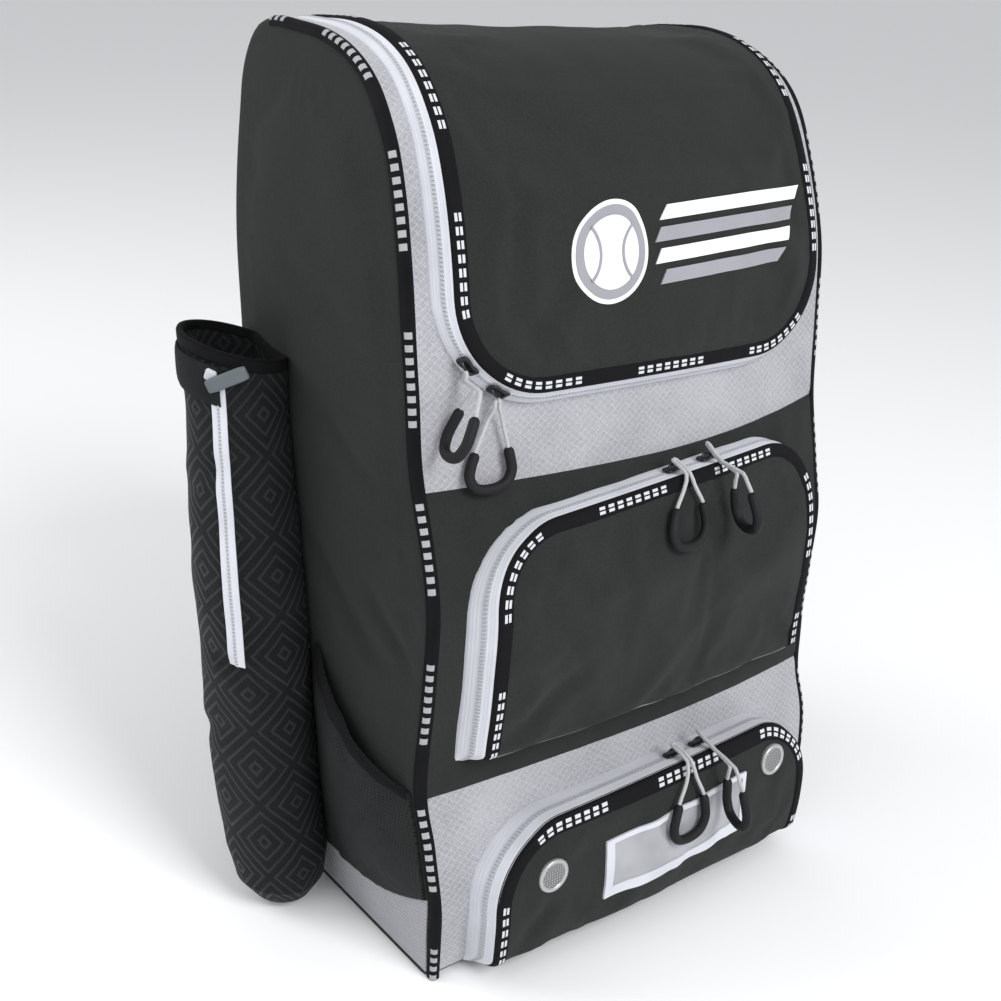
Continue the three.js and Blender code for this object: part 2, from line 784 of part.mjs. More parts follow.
const meshColumns = 8;
const meshRows = 4;
const meshSeat = 4 * sewnGap;
const meshFootGap = 2;

/** The depth of the mesh pocket's back edge at a height, just in front of the bat sleeve. */
function meshBack(z) {
  const { y, deep } = sleeveSection((z - sleeveLift) / sleeveHeight);
  return y - 0.45 * sleeveDepth * deep;
}

/** The height of the mesh pocket's hem, which dips towards the front. */
function meshHem(u) {
  return THREE.MathUtils.lerp(meshHemFront, meshHemBack, u ** 1.3);
}

for (const [side, name] of [[-1, 'left'], [1, 'right']]) {
  const layer = (above) => Array.from({ length: meshRows + 1 }, (_, i) => (
    Array.from({ length: meshColumns + 1 }, (_, j) => {
      const u = j / meshColumns;
      const v = i / meshRows;
      const footY = THREE.MathUtils.lerp(-0.46 * bagDepth, 0, u);
      const z = THREE.MathUtils.lerp(basePanelTop(footY) + meshFootGap, meshHem(u), v);
      const y = THREE.MathUtils.lerp(depthRange(z)[0] + cornerRadius, meshBack(z), u);
      const belly = meshPocketBulge * Math.sin(Math.PI * u) ** 0.8 * Math.sin(2.2 * v) ** 0.8;
      return new THREE.Vector3(sideX(side, y, z, belly + above), y, z);
    })
  ));
  const geometry = solidBetween(layer(meshSeat + meshThickness), layer(meshSeat));
  addPiece(`mesh_pocket_${name}`, geometry, 'mesh');
}

// Bat sleeve: an open tube, flat where it is sewn to the side panel

const sleeveSides = 16;
const sleeveMiddle = bagWidth / 2 + sleeveWidth / 2 + sewnGap;

/** The sleeve's section at a share of its height, between the rows of the table. */
function sleeveSection(up) {
  const last = sleeveSections.length - 1;
  const i = Math.min(Math.max(sleeveSections.findIndex((row) => row.up > up) - 1, 0), last - 1);
  const k = up >= 1 ? last - 1 : i;
  const [a, b] = [sleeveSections[k], sleeveSections[k + 1]];
  const t = (up - a.up) / (b.up - a.up);
  const mix = (key) => THREE.MathUtils.lerp(a[key], b[key], t);
  return { y: sleeveTopBack - mix('forward'), wide: mix('wide'), deep: mix('deep') };
}

/** A point of the sleeve, a height above its cloth, at an angle round it and a share up. */
function sleevePoint(angle, up, above) {
  const { y: middle, wide, deep } = sleeveSection(up);
  const [c, s] = [Math.cos(angle), Math.sin(angle)];
  const rim = mouthRise * (0.5 - 0.5 * Math.cos(angle - 0.85 * Math.PI));
  const z = sleeveLift + up * (sleeveHeight - rim);
  const y = middle + (wide === 0 ? 0 : (sleeveDepth / 2) * deep + above) * s;
  const x = -sleeveMiddle + ((sleeveWidth / 2) * wide + above) * c;
  const wallX = sideX(-1, y, z, meshSeat);
  return new THREE.Vector3(Math.min(x, wallX + Math.min(above, 0)), y, z);
}

/** The rings of the sleeve's outer or inner face, from the bottom to the mouth. */
function sleeveRings(above, fromUp) {
  const ups = sleeveSections.map((row) => row.up).filter((up) => up >= fromUp);
  return ups.map((up) => (
    Array.from({ length: sleeveSides }, (_, j) => (
      sleevePoint((2 * Math.PI * j) / sleeveSides, up, above)
    ))
  ));
}

/** The middle of a ring of points. */
function ringMiddle(ring) {
  return ring.reduce((sum, p) => sum.add(p), new THREE.Vector3()).divideScalar(ring.length);
}

const sleeveOuter = sleeveRings(0, 0);
const sleeveInner = sleeveRings(-sleeveWall, sleeveSections[2].up);
const pastMouth = sleeveInner.at(-1).map((p) => p.clone().setZ(sleeveHeight + cutterReach));
const sleeveSolid = asSolid(stackedSolid(
  sleeveOuter,
  ringMiddle(sleeveOuter[0]),
  ringMiddle(sleeveOuter.at(-1)),
));
const sleeveHollow = asSolid(stackedSolid(
  [...sleeveInner, pastMouth],
  ringMiddle(sleeveInner[0]),
  ringMiddle(pastMouth),
));
addPiece('bat_sleeve', asGeometry(sleeveSolid.subtract(sleeveHollow)), 'embossed');

// The sleeve's zip, a straight tape down its outer front face

const sleeveZipAngle = 1.235 * Math.PI;
const sleeveZipTop = 0.9;
const zipHalfAngle = sleeveZipWidth / (sleeveWidth + sleeveDepth) * 2;
const zipUps = evenly(sleeveZipTop - sleeveZipLength / sleeveHeight, sleeveZipTop, 0.07);
const zipLayer = (above) => zipUps.map((up) => [-1, 0, 1].map((k) => (
  sleevePoint(sleeveZipAngle + k * zipHalfAngle / 2, up, above)
)));
addPiece(
  'sleeve_zip',
  solidBetween(zipLayer(sewnGap * 2 + tapeThickness), zipLayer(sewnGap * 2)),
  'tape',
);

// The strap round the sleeve's mouth, from the bag's back edge, with its buckle

const sleeveStrapUps = [0.915, 0.98];
const sleeveStrapAngles = [4, 5, 6, 7, 8, 9, 10].map((j) => (2 * Math.PI * j) / sleeveSides);
const strapRootBack = 0.53 * bagDepth;
const sleeveStrapLayer = (above) => sleeveStrapUps.map((up) => {
  const round = sleeveStrapAngles.map((angle) => sleevePoint(angle, up, above));
  const z = round[0].z;
  const root = new THREE.Vector3(sideX(-1, strapRootBack, z, sewnGap), strapRootBack - above, z);
  return [root, ...round];
});
addPiece(
  'sleeve_strap',
  solidBetween(sleeveStrapLayer(sewnGap + webbingThickness), sleeveStrapLayer(sewnGap)),
  'webbing',
);

const buckleAngle = 1.3 * Math.PI;
const buckle = new THREE.BoxGeometry(buckleWidth, buckleDepth, buckleHeight);
const buckleSeat = sewnGap * 2 + webbingThickness;
const buckleAt = sleevePoint(buckleAngle, sleeveStrapUps[1] - 0.03, buckleSeat + buckleDepth / 2);
buckle.rotateY(THREE.MathUtils.degToRad(-buckleTilt));
const buckleMesh = addPiece('sleeve_buckle', mergeBare(buckle), 'buckle');
buckleMesh.position.copy(buckleAt);
buckleMesh.rotation.z = buckleAngle + Math.PI / 2;

// Zip sliders and their pulls: a loop of cord through a bent rubber tube

/** A point above whatever is outermost at a place: the panel or a pocket's flap. */
function outerSkin(x, along, above) {
  const lift = Object.values(pockets).reduce((sum, pocket) => sum + rise(pocket, x, along), 0);
  return skin(x, along, above + lift);
}

/** The place on an outline's round end, at an inset, that lies at a distance across. */
function headPlace(pocket, x, inset) {
  const corner = cornerAt(pocket, inset);
  const beside = Math.max(Math.abs(x) - pocket.halfWidth + inset + corner, 0);
  const fall = corner - Math.sqrt(Math.max(corner ** 2 - beside ** 2, 0));
  const s = pocket.headAlong - pocket.towards * (headInset(pocket, inset) + fall);
  return slanted(pocket, [x, s]);
}

/** The two edges of a pocket's zip tape at a distance across: at the panel and at the flap. */
function tapeEdges(pocket, x) {
  return [tapeInset(pocket), pocket.gusset].map((inset) => {
    const place = headPlace(pocket, x, inset);
    return skin(...place, rise(pocket, ...place));
  });
}

/** A round tube through points, with its ends cut square. */
function tube(points, diameter, sides, steps) {
  const circle = new THREE.Shape(Array.from({ length: sides }, (_, i) => {
    const a = (2 * Math.PI * i) / sides;
    return new THREE.Vector2((Math.cos(a) * diameter) / 2, (Math.sin(a) * diameter) / 2);
  }));
  const extrudePath = new THREE.CatmullRomCurve3(points, false, 'centripetal');
  return mergeBare(new THREE.ExtrudeGeometry(circle, { steps, extrudePath }));
}

/** The slider's side view, carried across its width. */
function sliderGeometry() {
  const [l, h] = [sliderLength / 2, sliderHeight];
  const side = new THREE.Shape([
    [-l, 0], [l, 0], [l, 0.35 * h], [0.5 * l, 0.45 * h], [0.4 * l, h],
    [-0.4 * l, h], [-0.5 * l, 0.45 * h], [-l, 0.35 * h],
  ].map(([x, y]) => new THREE.Vector2(x, y)));
  const slider = new THREE.ExtrudeGeometry(side, { depth: sliderWidth, bevelEnabled: false });
  return mergeBare(slider.translate(0, 0, -sliderWidth / 2));
}

// The grip's middle line, as shares of its mouth's width aside and of its length down
const gripLine = [
  { aside: -1.0, down: 0.00 },
  { aside: -1.2, down: 0.30 },
  { aside: -1.3, down: 0.62 },
  { aside: -0.95, down: 0.90 },
  { aside: 0.0, down: 1.00 },
  { aside: 0.95, down: 0.90 },
  { aside: 1.3, down: 0.62 },
  { aside: 1.2, down: 0.30 },
  { aside: 1.0, down: 0.00 },
];

// Each pull: at is its slider's place as a share of bagWidth, strand is the length of its
// two strands, lean is how far it hangs to the right, turn how far it is turned out of the
// bag's face, in degrees, and eyeGap is how far the cord's bend lies off the slider.
const pulls = [
  { name: 'lid_outer', pocket: 'lid', at: -0.402, strand: 20, lean: -24, turn: 104, eyeGap: -0.6 },
  { name: 'lid_inner', pocket: 'lid', at: -0.346, strand: 34, lean: -8, turn: 0, eyeGap: 0.3 },
  { name: 'mid_left', pocket: 'mid', at: 0.030, strand: 18, lean: -8, turn: 0, eyeGap: 2.5 },
  { name: 'mid_right', pocket: 'mid', at: 0.120, strand: 16, lean: 3, turn: 110, eyeGap: 5.8 },
  { name: 'low_left', pocket: 'low', at: 0.045, strand: 20, lean: -6, turn: 0, eyeGap: 3.4 },
  { name: 'low_right', pocket: 'low', at: 0.115, strand: 16, lean: 4, turn: 110, eyeGap: 5 },
];

/** A slider's frame on the zip tape: its middle, its way along the tape and its way out. */
function sliderFrame(pocket, x) {
  const [outer, flapEdge] = tapeEdges(pocket, x);
  const along = tapeEdges(pocket, x + 2)[0].sub(tapeEdges(pocket, x - 2)[0]).normalize();
  const wall = flapEdge.clone().sub(outer).normalize();
  const out = new THREE.Vector3().crossVectors(wall, along).normalize()
    .multiplyScalar(pocket.towards);
  return { middle: outer.lerp(flapEdge, 0.5), flapEdge, along, out };
}

for (const { name, pocket: pocketName, at, strand, lean, turn, eyeGap } of pulls) {
  const pocket = pockets[pocketName];
  const x0 = at * bagWidth;
  const { middle, flapEdge, along, out } = sliderFrame(pocket, x0);
  const slider = addPiece(`slider_${name}`, sliderGeometry(), 'metal');
  const sideways = new THREE.Vector3().crossVectors(along, out);
  slider.quaternion.setFromRotationMatrix(new THREE.Matrix4().makeBasis(along, out, sideways));
  slider.position.copy(middle).addScaledVector(out, 2 * sewnGap);

  // The pull hangs from the slider's eye, over the flap's edge and down the flap
  const clear = bindingRise + 4 * sewnGap + gripDiameter / 2;
  const radians = THREE.MathUtils.degToRad(turn);
  const startAlong = headPlace(pocket, x0, pocket.towards > 0 ? pocket.gusset : 0)[1];
  const hang = (aside, down, above) => outerSkin(
    x0 + (lean * down) / (strand + gripLength) + aside * Math.cos(radians),
    startAlong - down,
    above + (aside + 0.65 * gripMouth) * Math.sin(radians),
  );
  const arm = (way) => [1, 0.7, 0.4].map((share) => (
    hang((way * gripMouth * share) / 2, strand * share, clear)
  ));
  const [leftArm, rightArm] = [arm(-1), arm(1)];
  const apart = rightArm.at(-1).clone().sub(leftArm.at(-1)).setLength(cordSpread);
  const strandRise = cordDiameter / 2 + Math.abs(apart.dot(out));
  const eye = middle.clone()
    .addScaledVector(out, sliderHeight + eyeGap + strandRise);
  const overEdge = flapEdge.clone()
    .addScaledVector(out, 3 * sewnGap + strandRise)
    .add(new THREE.Vector3(0, -bindingRise - 1.4 * cordDiameter, 0));
  const below = eye.clone().add(new THREE.Vector3(0, 0, -2 * cordDiameter));
  const edge = pocket.towards > 0 ? overEdge : below;
  const bend = edge.clone().sub(eye).setLength(cordSpread);
  const beside = (way) => [edge, eye.clone().add(bend)].map((p) => (
    p.clone().addScaledVector(apart, way)
  ));
  const cordLine = [...leftArm, ...beside(-1), eye, ...beside(1).reverse(), ...rightArm.reverse()];
  addPiece(`pull_cord_${name}`, tube(cordLine, cordDiameter, 5, 15), 'cord');
  const gripPoints = gripLine.map(({ aside, down }) => (
    hang((aside * gripMouth) / 2, strand + 3 * sewnGap + gripLength * down, clear)
  ));
  addPiece(`pull_grip_${name}`, tube(gripPoints, gripDiameter, 6, 9), 'moulded');
}

// Two round vents and a card window on the lower flap

const low = pockets.low;
const lift = (x, s, above) => skin(x, s, above + rise(low, x, s));
const ventProfile = [
  [0, 0], [1, 0], [1, 0.6], [0.86, 1], [0.76, 0.7], [0, 0.7],
].map(([r, h]) => new THREE.Vector2((r * ventDiameter) / 2, h * ventThickness));
for (const [side, name] of [[-1, 'left'], [1, 'right']]) {
  const x = side * (low.halfWidth - ventAside);
  const s = slanted(low, [x, low.headAlong])[1] - ventDrops[name];
  const centre = lift(x, s, ventSeat);
  const across = lift(x + 5, s, ventSeat).sub(lift(x - 5, s, ventSeat)).normalize();
  const up = lift(x, s + 5, ventSeat).sub(lift(x, s - 5, ventSeat)).normalize();
  const out = new THREE.Vector3().crossVectors(across, up).normalize();
  const ventGeometry = mergeBare(new THREE.LatheGeometry(ventProfile, 12));
  const vent = addPiece(`vent_${name}`, ventGeometry, 'vent');
  const level = new THREE.Vector3().crossVectors(across, out);
  vent.quaternion.setFromRotationMatrix(new THREE.Matrix4().makeBasis(across, out, level));
  vent.position.copy(centre);
}

/** A rectangle of cloth on the lower flap, shrunk by a margin. */
function windowPlaces(margin) {
  const middle = alongAtHeight(windowCentre * bagHeight);
  const [w, h] = [windowWidth / 2 - margin, windowHeight / 2 - margin];
  return evenly(middle - h, middle + h, 22).map((s) => (
    evenly(-w, w, 46).map((x) => (
      [windowAcross * bagWidth + x, s + (windowTilt * x) / windowWidth]
    ))
  ));
}

const windowSeat = 2.5 * sewnGap;
const windowSheet = asSolid(
  skinPiece(windowPlaces(0), windowSeat, windowSeat + windowThickness, low),
);
const windowHole = asSolid(skinPiece(windowPlaces(windowBorder), -5, cutterReach, low));
addPiece('window_frame', asGeometry(windowSheet.subtract(windowHole)), 'tape');
addPiece('window_card', skinPiece(
  windowPlaces(windowBorder + sewnGap),
  windowSeat,
  windowSeat + windowThickness / 2,
  low,
), 'clear');

// Back: a padded panel, two padded shoulder straps with their webbing, and a handle

/** The length of cloth at which the back comes down to a height. */
function alongDownBack(z) {
  const i = outlinePoints.findIndex((p, k) => k > topIndex && p.z <= z);
  return (i / outlineSteps) * clothLength;
}

const backTop = alongDownBack(backPadTop * bagHeight);
const backLow = alongDownBack(backPadFoot * bagHeight);
const padSeat = 4 * sewnGap;
const padRows = evenly(backTop, backLow, 45);
const padColumns = evenly(-backPadWidth / 2, backPadWidth / 2, 60);
const padLayer = (edge, full) => padRows.map((s, i) => padColumns.map((x, j) => {
  const rim = i === 0 || j === 0 || i === padRows.length - 1 || j === padColumns.length - 1;
  return skin(x, s, padSeat + (rim ? edge : full));
}));
addPiece(
  'back_pad',
  solidBetween(padLayer(backPadThickness / 2, backPadThickness), padLayer(0, 0)),
  'mesh',
);

/** A band behind the back: line gives its place and stand-off at a share of its length. */
function backBand(line, width, thickness, rows) {
  const layer = (above) => evenly(0, 1, 1 / rows).map((t) => {
    const { x, s, off, turned } = line(t);
    return [-0.5, -0.17, 0.17, 0.5].map((k) => (
      turned ? skin(x, s + k * width, off + above) : skin(x + k * width, s, off + above)
    ));
  });
  return solidBetween(layer(thickness), layer(0));
}

for (const [side, name] of [[-1, 'left'], [1, 'right']]) {
  const seat = padSeat + backPadThickness + sewnGap;
  const [from, to] = [strapTop, strapFoot].map((share) => alongDownBack(share * bagHeight));
  const strapLine = (t) => ({
    x: side * bagWidth * THREE.MathUtils.lerp(strapTopAcross, strapLowAcross, t * t),
    s: THREE.MathUtils.lerp(from, to, t),
    off: seat + strapStandOff * Math.sin(Math.PI * t),
  });
  const strap = backBand(strapLine, strapWidth, strapThickness, 9);
  addPiece(`shoulder_strap_${name}`, strap, 'mesh');
  const webEnd = alongDownBack(webbingFoot * bagHeight);
  const webLine = (t) => ({
    x: side * bagWidth * THREE.MathUtils.lerp(strapLowAcross, strapFootAcross, t),
    s: THREE.MathUtils.lerp(to + sewnGap * 2, webEnd, t),
    off: THREE.MathUtils.lerp(seat, sewnGap, Math.max(0, 2.4 * t - 1.4)),
  });
  const webbing = backBand(webLine, webbingWidth, webbingThickness, 6);
  addPiece(`strap_webbing_${name}`, webbing, 'webbing');
}

const handleLine = (t) => ({
  x: THREE.MathUtils.lerp(-handleWidth / 2, handleWidth / 2, t),
  s: alongDownBack(handleHeight * bagHeight),
  off: sewnGap + handleStandOff * Math.sin(Math.PI * t),
  turned: true,
});
addPiece('haul_handle', backBand(handleLine, webbingWidth, webbingThickness, 8), 'webbing');

// Inside: the floor of the main compartment over the lower one, and the middle pocket's wall

const inner = bodySolid(wallThickness + sewnGap);
const floorHeight = 0.5 * (crossSeams.lower.left + crossSeams.lower.right) * bagHeight;
const roofHeight = crossSeams.upper.left * bagHeight - 8;
const pocketBack = middlePocketFront * bagDepth + middlePocketDepth;
const reach = bagWidth;
const halfWall = wallThickness / 2;
const ahead = -bagDepth;
const frontInside = asSolid(skinPiece(
  frontGrid(() => panelFoot, () => lidEnd, panelHalf + cutterReach),
  -wallThickness - liningGap,
  3 * cutterReach,
));
const floorSlab = asSolid(boxBetween(
  [-reach, ahead, floorHeight - halfWall],
  [reach, bagDepth, floorHeight + halfWall],
));
const pocketWall = asSolid(boxBetween(
  [-reach, pocketBack, floorHeight + halfWall + sewnGap],
  [reach, pocketBack + wallThickness, roofHeight + halfWall],
));
const pocketRoof = asSolid(boxBetween(
  [-reach, ahead, roofHeight - halfWall],
  [reach, pocketBack + halfWall, roofHeight + halfWall],
));
const floorSolid = inner.intersect(floorSlab).subtract(frontInside);
const wallSolid = inner.intersect(pocketWall.add(pocketRoof)).subtract(frontInside);
addPiece('compartment_floor', asGeometry(floorSolid), 'cloth');
addPiece('pocket_wall', asGeometry(wallSolid), 'cloth');

export default bag;
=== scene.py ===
"""A baseball bat backpack for Blender 4.5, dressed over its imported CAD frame.

Every surface is worked out in millimetres, in the frame's own axes: +X right, +Y back,
+Z up, with the front facing -Y, and is turned into metres when its mesh is made. Places on
the cloth are (across, along): across is X, and along is the length of cloth from the front
foot, up the front, over the top and down the back.
"""
import math
from types import SimpleNamespace

import bpy
import numpy as np
from mathutils import Matrix, Vector


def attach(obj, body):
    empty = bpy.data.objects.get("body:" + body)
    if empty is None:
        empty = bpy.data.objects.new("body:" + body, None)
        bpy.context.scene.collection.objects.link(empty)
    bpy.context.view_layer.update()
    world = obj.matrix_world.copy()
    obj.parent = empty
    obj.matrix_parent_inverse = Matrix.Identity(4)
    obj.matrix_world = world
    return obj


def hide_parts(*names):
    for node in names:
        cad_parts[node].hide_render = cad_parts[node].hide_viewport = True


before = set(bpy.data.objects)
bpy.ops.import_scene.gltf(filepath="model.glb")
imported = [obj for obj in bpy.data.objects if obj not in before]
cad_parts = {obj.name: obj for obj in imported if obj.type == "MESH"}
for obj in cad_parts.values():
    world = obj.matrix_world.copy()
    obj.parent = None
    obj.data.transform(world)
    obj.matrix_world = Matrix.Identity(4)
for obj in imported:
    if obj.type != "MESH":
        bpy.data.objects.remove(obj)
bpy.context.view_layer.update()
MM = 0.001


# Camera and studio. The photograph looks at the bag's front left corner from a little above,
# tilted a few degrees, on a plain pale ground under soft light from all round.

image_size = 1001
focal_pixels = 1400
camera_place = Vector((-0.65592, -0.73097, 0.67856))
view_azimuth = math.radians(-39.5)
view_elevation = math.radians(22.34)
view_roll = math.radians(4.5)
sensor_width = 36


def add_camera():
    """The camera: its right and up are turned about its view line by the roll."""
    lens = bpy.data.cameras.new("camera")
    lens.sensor_width = sensor_width
    lens.lens = sensor_width * focal_pixels / image_size
    lens.clip_start = 0.01
    lens.clip_end = 50
    camera = bpy.data.objects.new("camera", lens)
    bpy.context.scene.collection.objects.link(camera)
    ahead = Vector((
        -math.sin(view_azimuth) * math.cos(view_elevation),
        math.cos(view_azimuth) * math.cos(view_elevation),
        -math.sin(view_elevation),
    ))
    level = ahead.cross(Vector((0, 0, 1))).normalized()
    upright = level.cross(ahead)
    right = level * math.cos(view_roll) + upright * math.sin(view_roll)
    up = right.cross(ahead)
    turn = Matrix((right, up, -ahead)).transposed()
    camera.matrix_world = Matrix.Translation(camera_place) @ turn.to_4x4()
    bpy.context.scene.camera = camera


def add_lamp(name, place, size, power):
    """A square lamp that faces the middle of the bag."""
    lamp = bpy.data.lights.new(name, "AREA")
    lamp.size = size
    lamp.energy = power
    item = bpy.data.objects.new(name, lamp)
    item.location = place
    bag_middle = Vector((0, 0, 0.3))
    facing = bag_middle - Vector(place)
    item.rotation_euler = facing.to_track_quat("-Z", "Y").to_euler()
    bpy.context.scene.collection.objects.link(item)


def add_studio():
    """A pale floor, an even sky and three soft lamps."""
    plane = bpy.data.meshes.new("floor")
    reach = 40.0
    plane.from_pydata(
        [(-reach, -reach, 0), (reach, -reach, 0), (reach, reach, 0), (-reach, reach, 0)],
        [],
        [(0, 1, 2, 3)],
    )
    floor = bpy.data.objects.new("floor", plane)
    bpy.context.scene.collection.objects.link(floor)
    paint = bpy.data.materials.new("floor")
    paint.use_nodes = True
    shader = paint.node_tree.nodes["Principled BSDF"]
    shader.inputs["Base Color"].default_value = (0.93, 0.93, 0.94, 1)
    shader.inputs["Roughness"].default_value = 0.9
    plane.materials.append(paint)
    world = bpy.data.worlds.new("studio")
    world.use_nodes = True
    sky = world.node_tree.nodes["Background"]
    sky.inputs["Color"].default_value = (0.97, 0.98, 1.0, 1)
    sky.inputs["Strength"].default_value = 0.62
    bpy.context.scene.world = world
    add_lamp("key", (0.2, -2.8, 2.5), 1.6, 92)
    add_lamp("fill", (-2.6, -0.6, 1.6), 2.2, 12)
    add_lamp("back", (-1.8, 1.6, 1.8), 1.6, 26)
    bpy.context.scene.view_settings.view_transform = "Standard"


add_camera()
add_studio()


# Finishes. Every cloth, tape, moulding and metal of the bag is one small node tree, made
# from the piece's own UV map, which holds millimetres of cloth.


class Value:
    """A number that varies over a surface. Arithmetic on it adds one Math node each."""

    def __init__(self, tree, socket):
        self.tree = tree
        self.socket = socket

    def math(self, operation, *others, clamp=False):
        node = self.tree.nodes.new("ShaderNodeMath")
        node.operation = operation
        node.use_clamp = clamp
        for socket, value in zip(node.inputs, (self, *others)):
            if isinstance(value, Value):
                self.tree.links.new(value.socket, socket)
            else:
                socket.default_value = value
        return Value(self.tree, node.outputs[0])

    def reflected(self, operation, other):
        node = self.tree.nodes.new("ShaderNodeMath")
        node.operation = operation
        node.inputs[0].default_value = other
        self.tree.links.new(self.socket, node.inputs[1])
        return Value(self.tree, node.outputs[0])

    def __add__(self, other):
        return self.math("ADD", other)

    def __radd__(self, other):
        return self.math("ADD", other)

    def __sub__(self, other):
        return self.math("SUBTRACT", other)

    def __rsub__(self, other):
        return self.reflected("SUBTRACT", other)

    def __mul__(self, other):
        return self.math("MULTIPLY", other)

    def __rmul__(self, other):
        return self.math("MULTIPLY", other)

    def __truediv__(self, other):
        return self.math("DIVIDE", other)

    def __rtruediv__(self, other):
        return self.reflected("DIVIDE", other)

    def __lt__(self, other):
        return self.math("LESS_THAN", other)

    def __mod__(self, other):
        return self.math("FLOORED_MODULO", other)

    def __abs__(self):
        return self.math("ABSOLUTE")

    def wave(self, pitch):
        """A sine of this value with a pitch, from -1 to 1."""
        return (self * (2 * math.pi / pitch)).math("SINE")

    def within(self, half):
        """1 where this value lies within half of 0, else 0."""
        return abs(self) < half

    def line(self, pitch, width):
        """1 on lines of a width that repeat at a pitch, with soft edges."""
        away = abs(self % pitch - pitch / 2)
        return ((width / 2 + 0.15 - away) / 0.3).math("ADD", 0.0, clamp=True)


class Finish:
    """A material being made: its node tree, its shader and the nodes it often needs."""

    def __init__(self, name, slot, colour, roughness, sheen=0.0, metallic=0.0, gloss=0.25):
        self.material = bpy.data.materials.new(name)
        self.material.use_nodes = True
        self.tree = self.material.node_tree
        self.shader = self.tree.nodes["Principled BSDF"]
        self.slot = slot
        self.shader.inputs["Base Color"].default_value = (*colour, 1)
        self.shader.inputs["Roughness"].default_value = roughness
        self.shader.inputs["Sheen Weight"].default_value = sheen
        self.shader.inputs["Specular IOR Level"].default_value = gloss
        self.shader.inputs["Metallic"].default_value = metallic

    def node(self, kind, output, settings, sockets):
        """Any other node: its settings by attribute, its sockets by name or number."""
        node = self.tree.nodes.new(kind)
        for key, value in settings.items():
            setattr(node, key, value)
        for key, value in sockets.items():
            if isinstance(value, Value):
                self.tree.links.new(value.socket, node.inputs[key])
            else:
                node.inputs[key].default_value = value
        return Value(self.tree, node.outputs[output])

    def cloth(self):
        """The two coordinates of the cloth, in millimetres."""
        place = {"Vector": self.node("ShaderNodeUVMap", 0, {"uv_map": "UVMap"}, {})}
        return [self.node("ShaderNodeSeparateXYZ", axis, {}, place) for axis in (0, 1)]

    def grain(self, size, detail=2.0):
        """Smooth noise from 0 to 1 with a size in millimetres, fixed to the object."""
        place = self.node("ShaderNodeTexCoord", "Object", {}, {})
        sockets = {"Vector": place, "Scale": 1 / (size * MM), "Detail": detail}
        return self.node("ShaderNodeTexNoise", 0, {}, sockets)

    def blend(self, share, first, second):
        """A colour between two, by a share from 0 to 1."""
        ends = [end if isinstance(end, Value) else (*end, 1) for end in (first, second)]
        sockets = {0: share, 6: ends[0], 7: ends[1]}
        return self.node("ShaderNodeMix", 2, {"data_type": "RGBA"}, sockets)

    def paint(self, colour, roughness=None, height=None, distance=0.5):
        """Links what varies to the shader. height is in units of distance millimetres."""
        for name, value in (("Base Color", colour), ("Roughness", roughness)):
            if value is not None:
                self.tree.links.new(value.socket, self.shader.inputs[name])
        if height is not None:
            sockets = {"Height": height, "Distance": distance * MM}
            bump = self.node("ShaderNodeBump", 0, {}, sockets)
            self.tree.links.new(bump.socket, self.shader.inputs["Normal"])
        return self


def shade(colour, factor):
    """A colour made lighter or darker by a factor."""
    return tuple(channel * factor for channel in colour)


def woven(name, slot, colour, spread=0.35, sheen=0.05, pitch=0.9):
    """Plain woven polyester: crossing threads, flecks, and a slow drift of its shade."""
    finish = Finish(name, slot, colour, 0.88, sheen, gloss=0.15)
    u, v = finish.cloth()
    threads = u.wave(pitch) * v.wave(pitch)
    flecks = finish.grain(1.3) - 0.5
    drift = finish.grain(60.0) - 0.5
    tone = 0.5 + threads * 0.16 + flecks * 1.1 + drift * 0.5
    colours = finish.blend(tone, shade(colour, 1 - spread), shade(colour, 1 + spread))
    return finish.paint(colours, height=threads * 0.5 + flecks * 1.4, distance=0.25)


charcoal = woven("charcoal_weave", "dark_fabric", (0.021, 0.0218, 0.0213))


# The form of the body. Its side outline is a smooth curve through a few chosen points; it is
# carried across the width with soft seams, low swells, and sides that belly out a little.

bag_height = 613
bag_width = 368
bag_depth = 250
corner_radius = 9
foot_radius = 4.5
side_swell = 4
front_crown = 9
top_sag = 7

side_outline = np.array([
    # share of the depth behind the middle, share of the height
    (-0.500, 0.0075), (-0.504, 0.090), (-0.472, 0.170), (-0.425, 0.222), (-0.412, 0.290),
    (-0.414, 0.370), (-0.410, 0.445), (-0.370, 0.512), (-0.312, 0.590), (-0.280, 0.680),
    (-0.238, 0.785), (-0.178, 0.862), (-0.110, 0.920), (-0.030, 0.958), (0.070, 0.982),
    (0.200, 0.996), (0.340, 1.000), (0.450, 1.000), (0.545, 0.990), (0.600, 0.958),
    (0.628, 0.880), (0.618, 0.760), (0.590, 0.620), (0.560, 0.400), (0.515, 0.150),
    (0.500, 0.0075),
])
flares = np.array([
    # share of the height, how far the bag stands out beside its base as a share
    (0.00, 0.000), (0.08, 0.012), (0.17, 0.030), (0.24, 0.032), (0.34, 0.014),
    (0.48, 0.010), (0.62, 0.024), (0.76, 0.033), (0.92, 0.012), (1.00, 0.000),
])


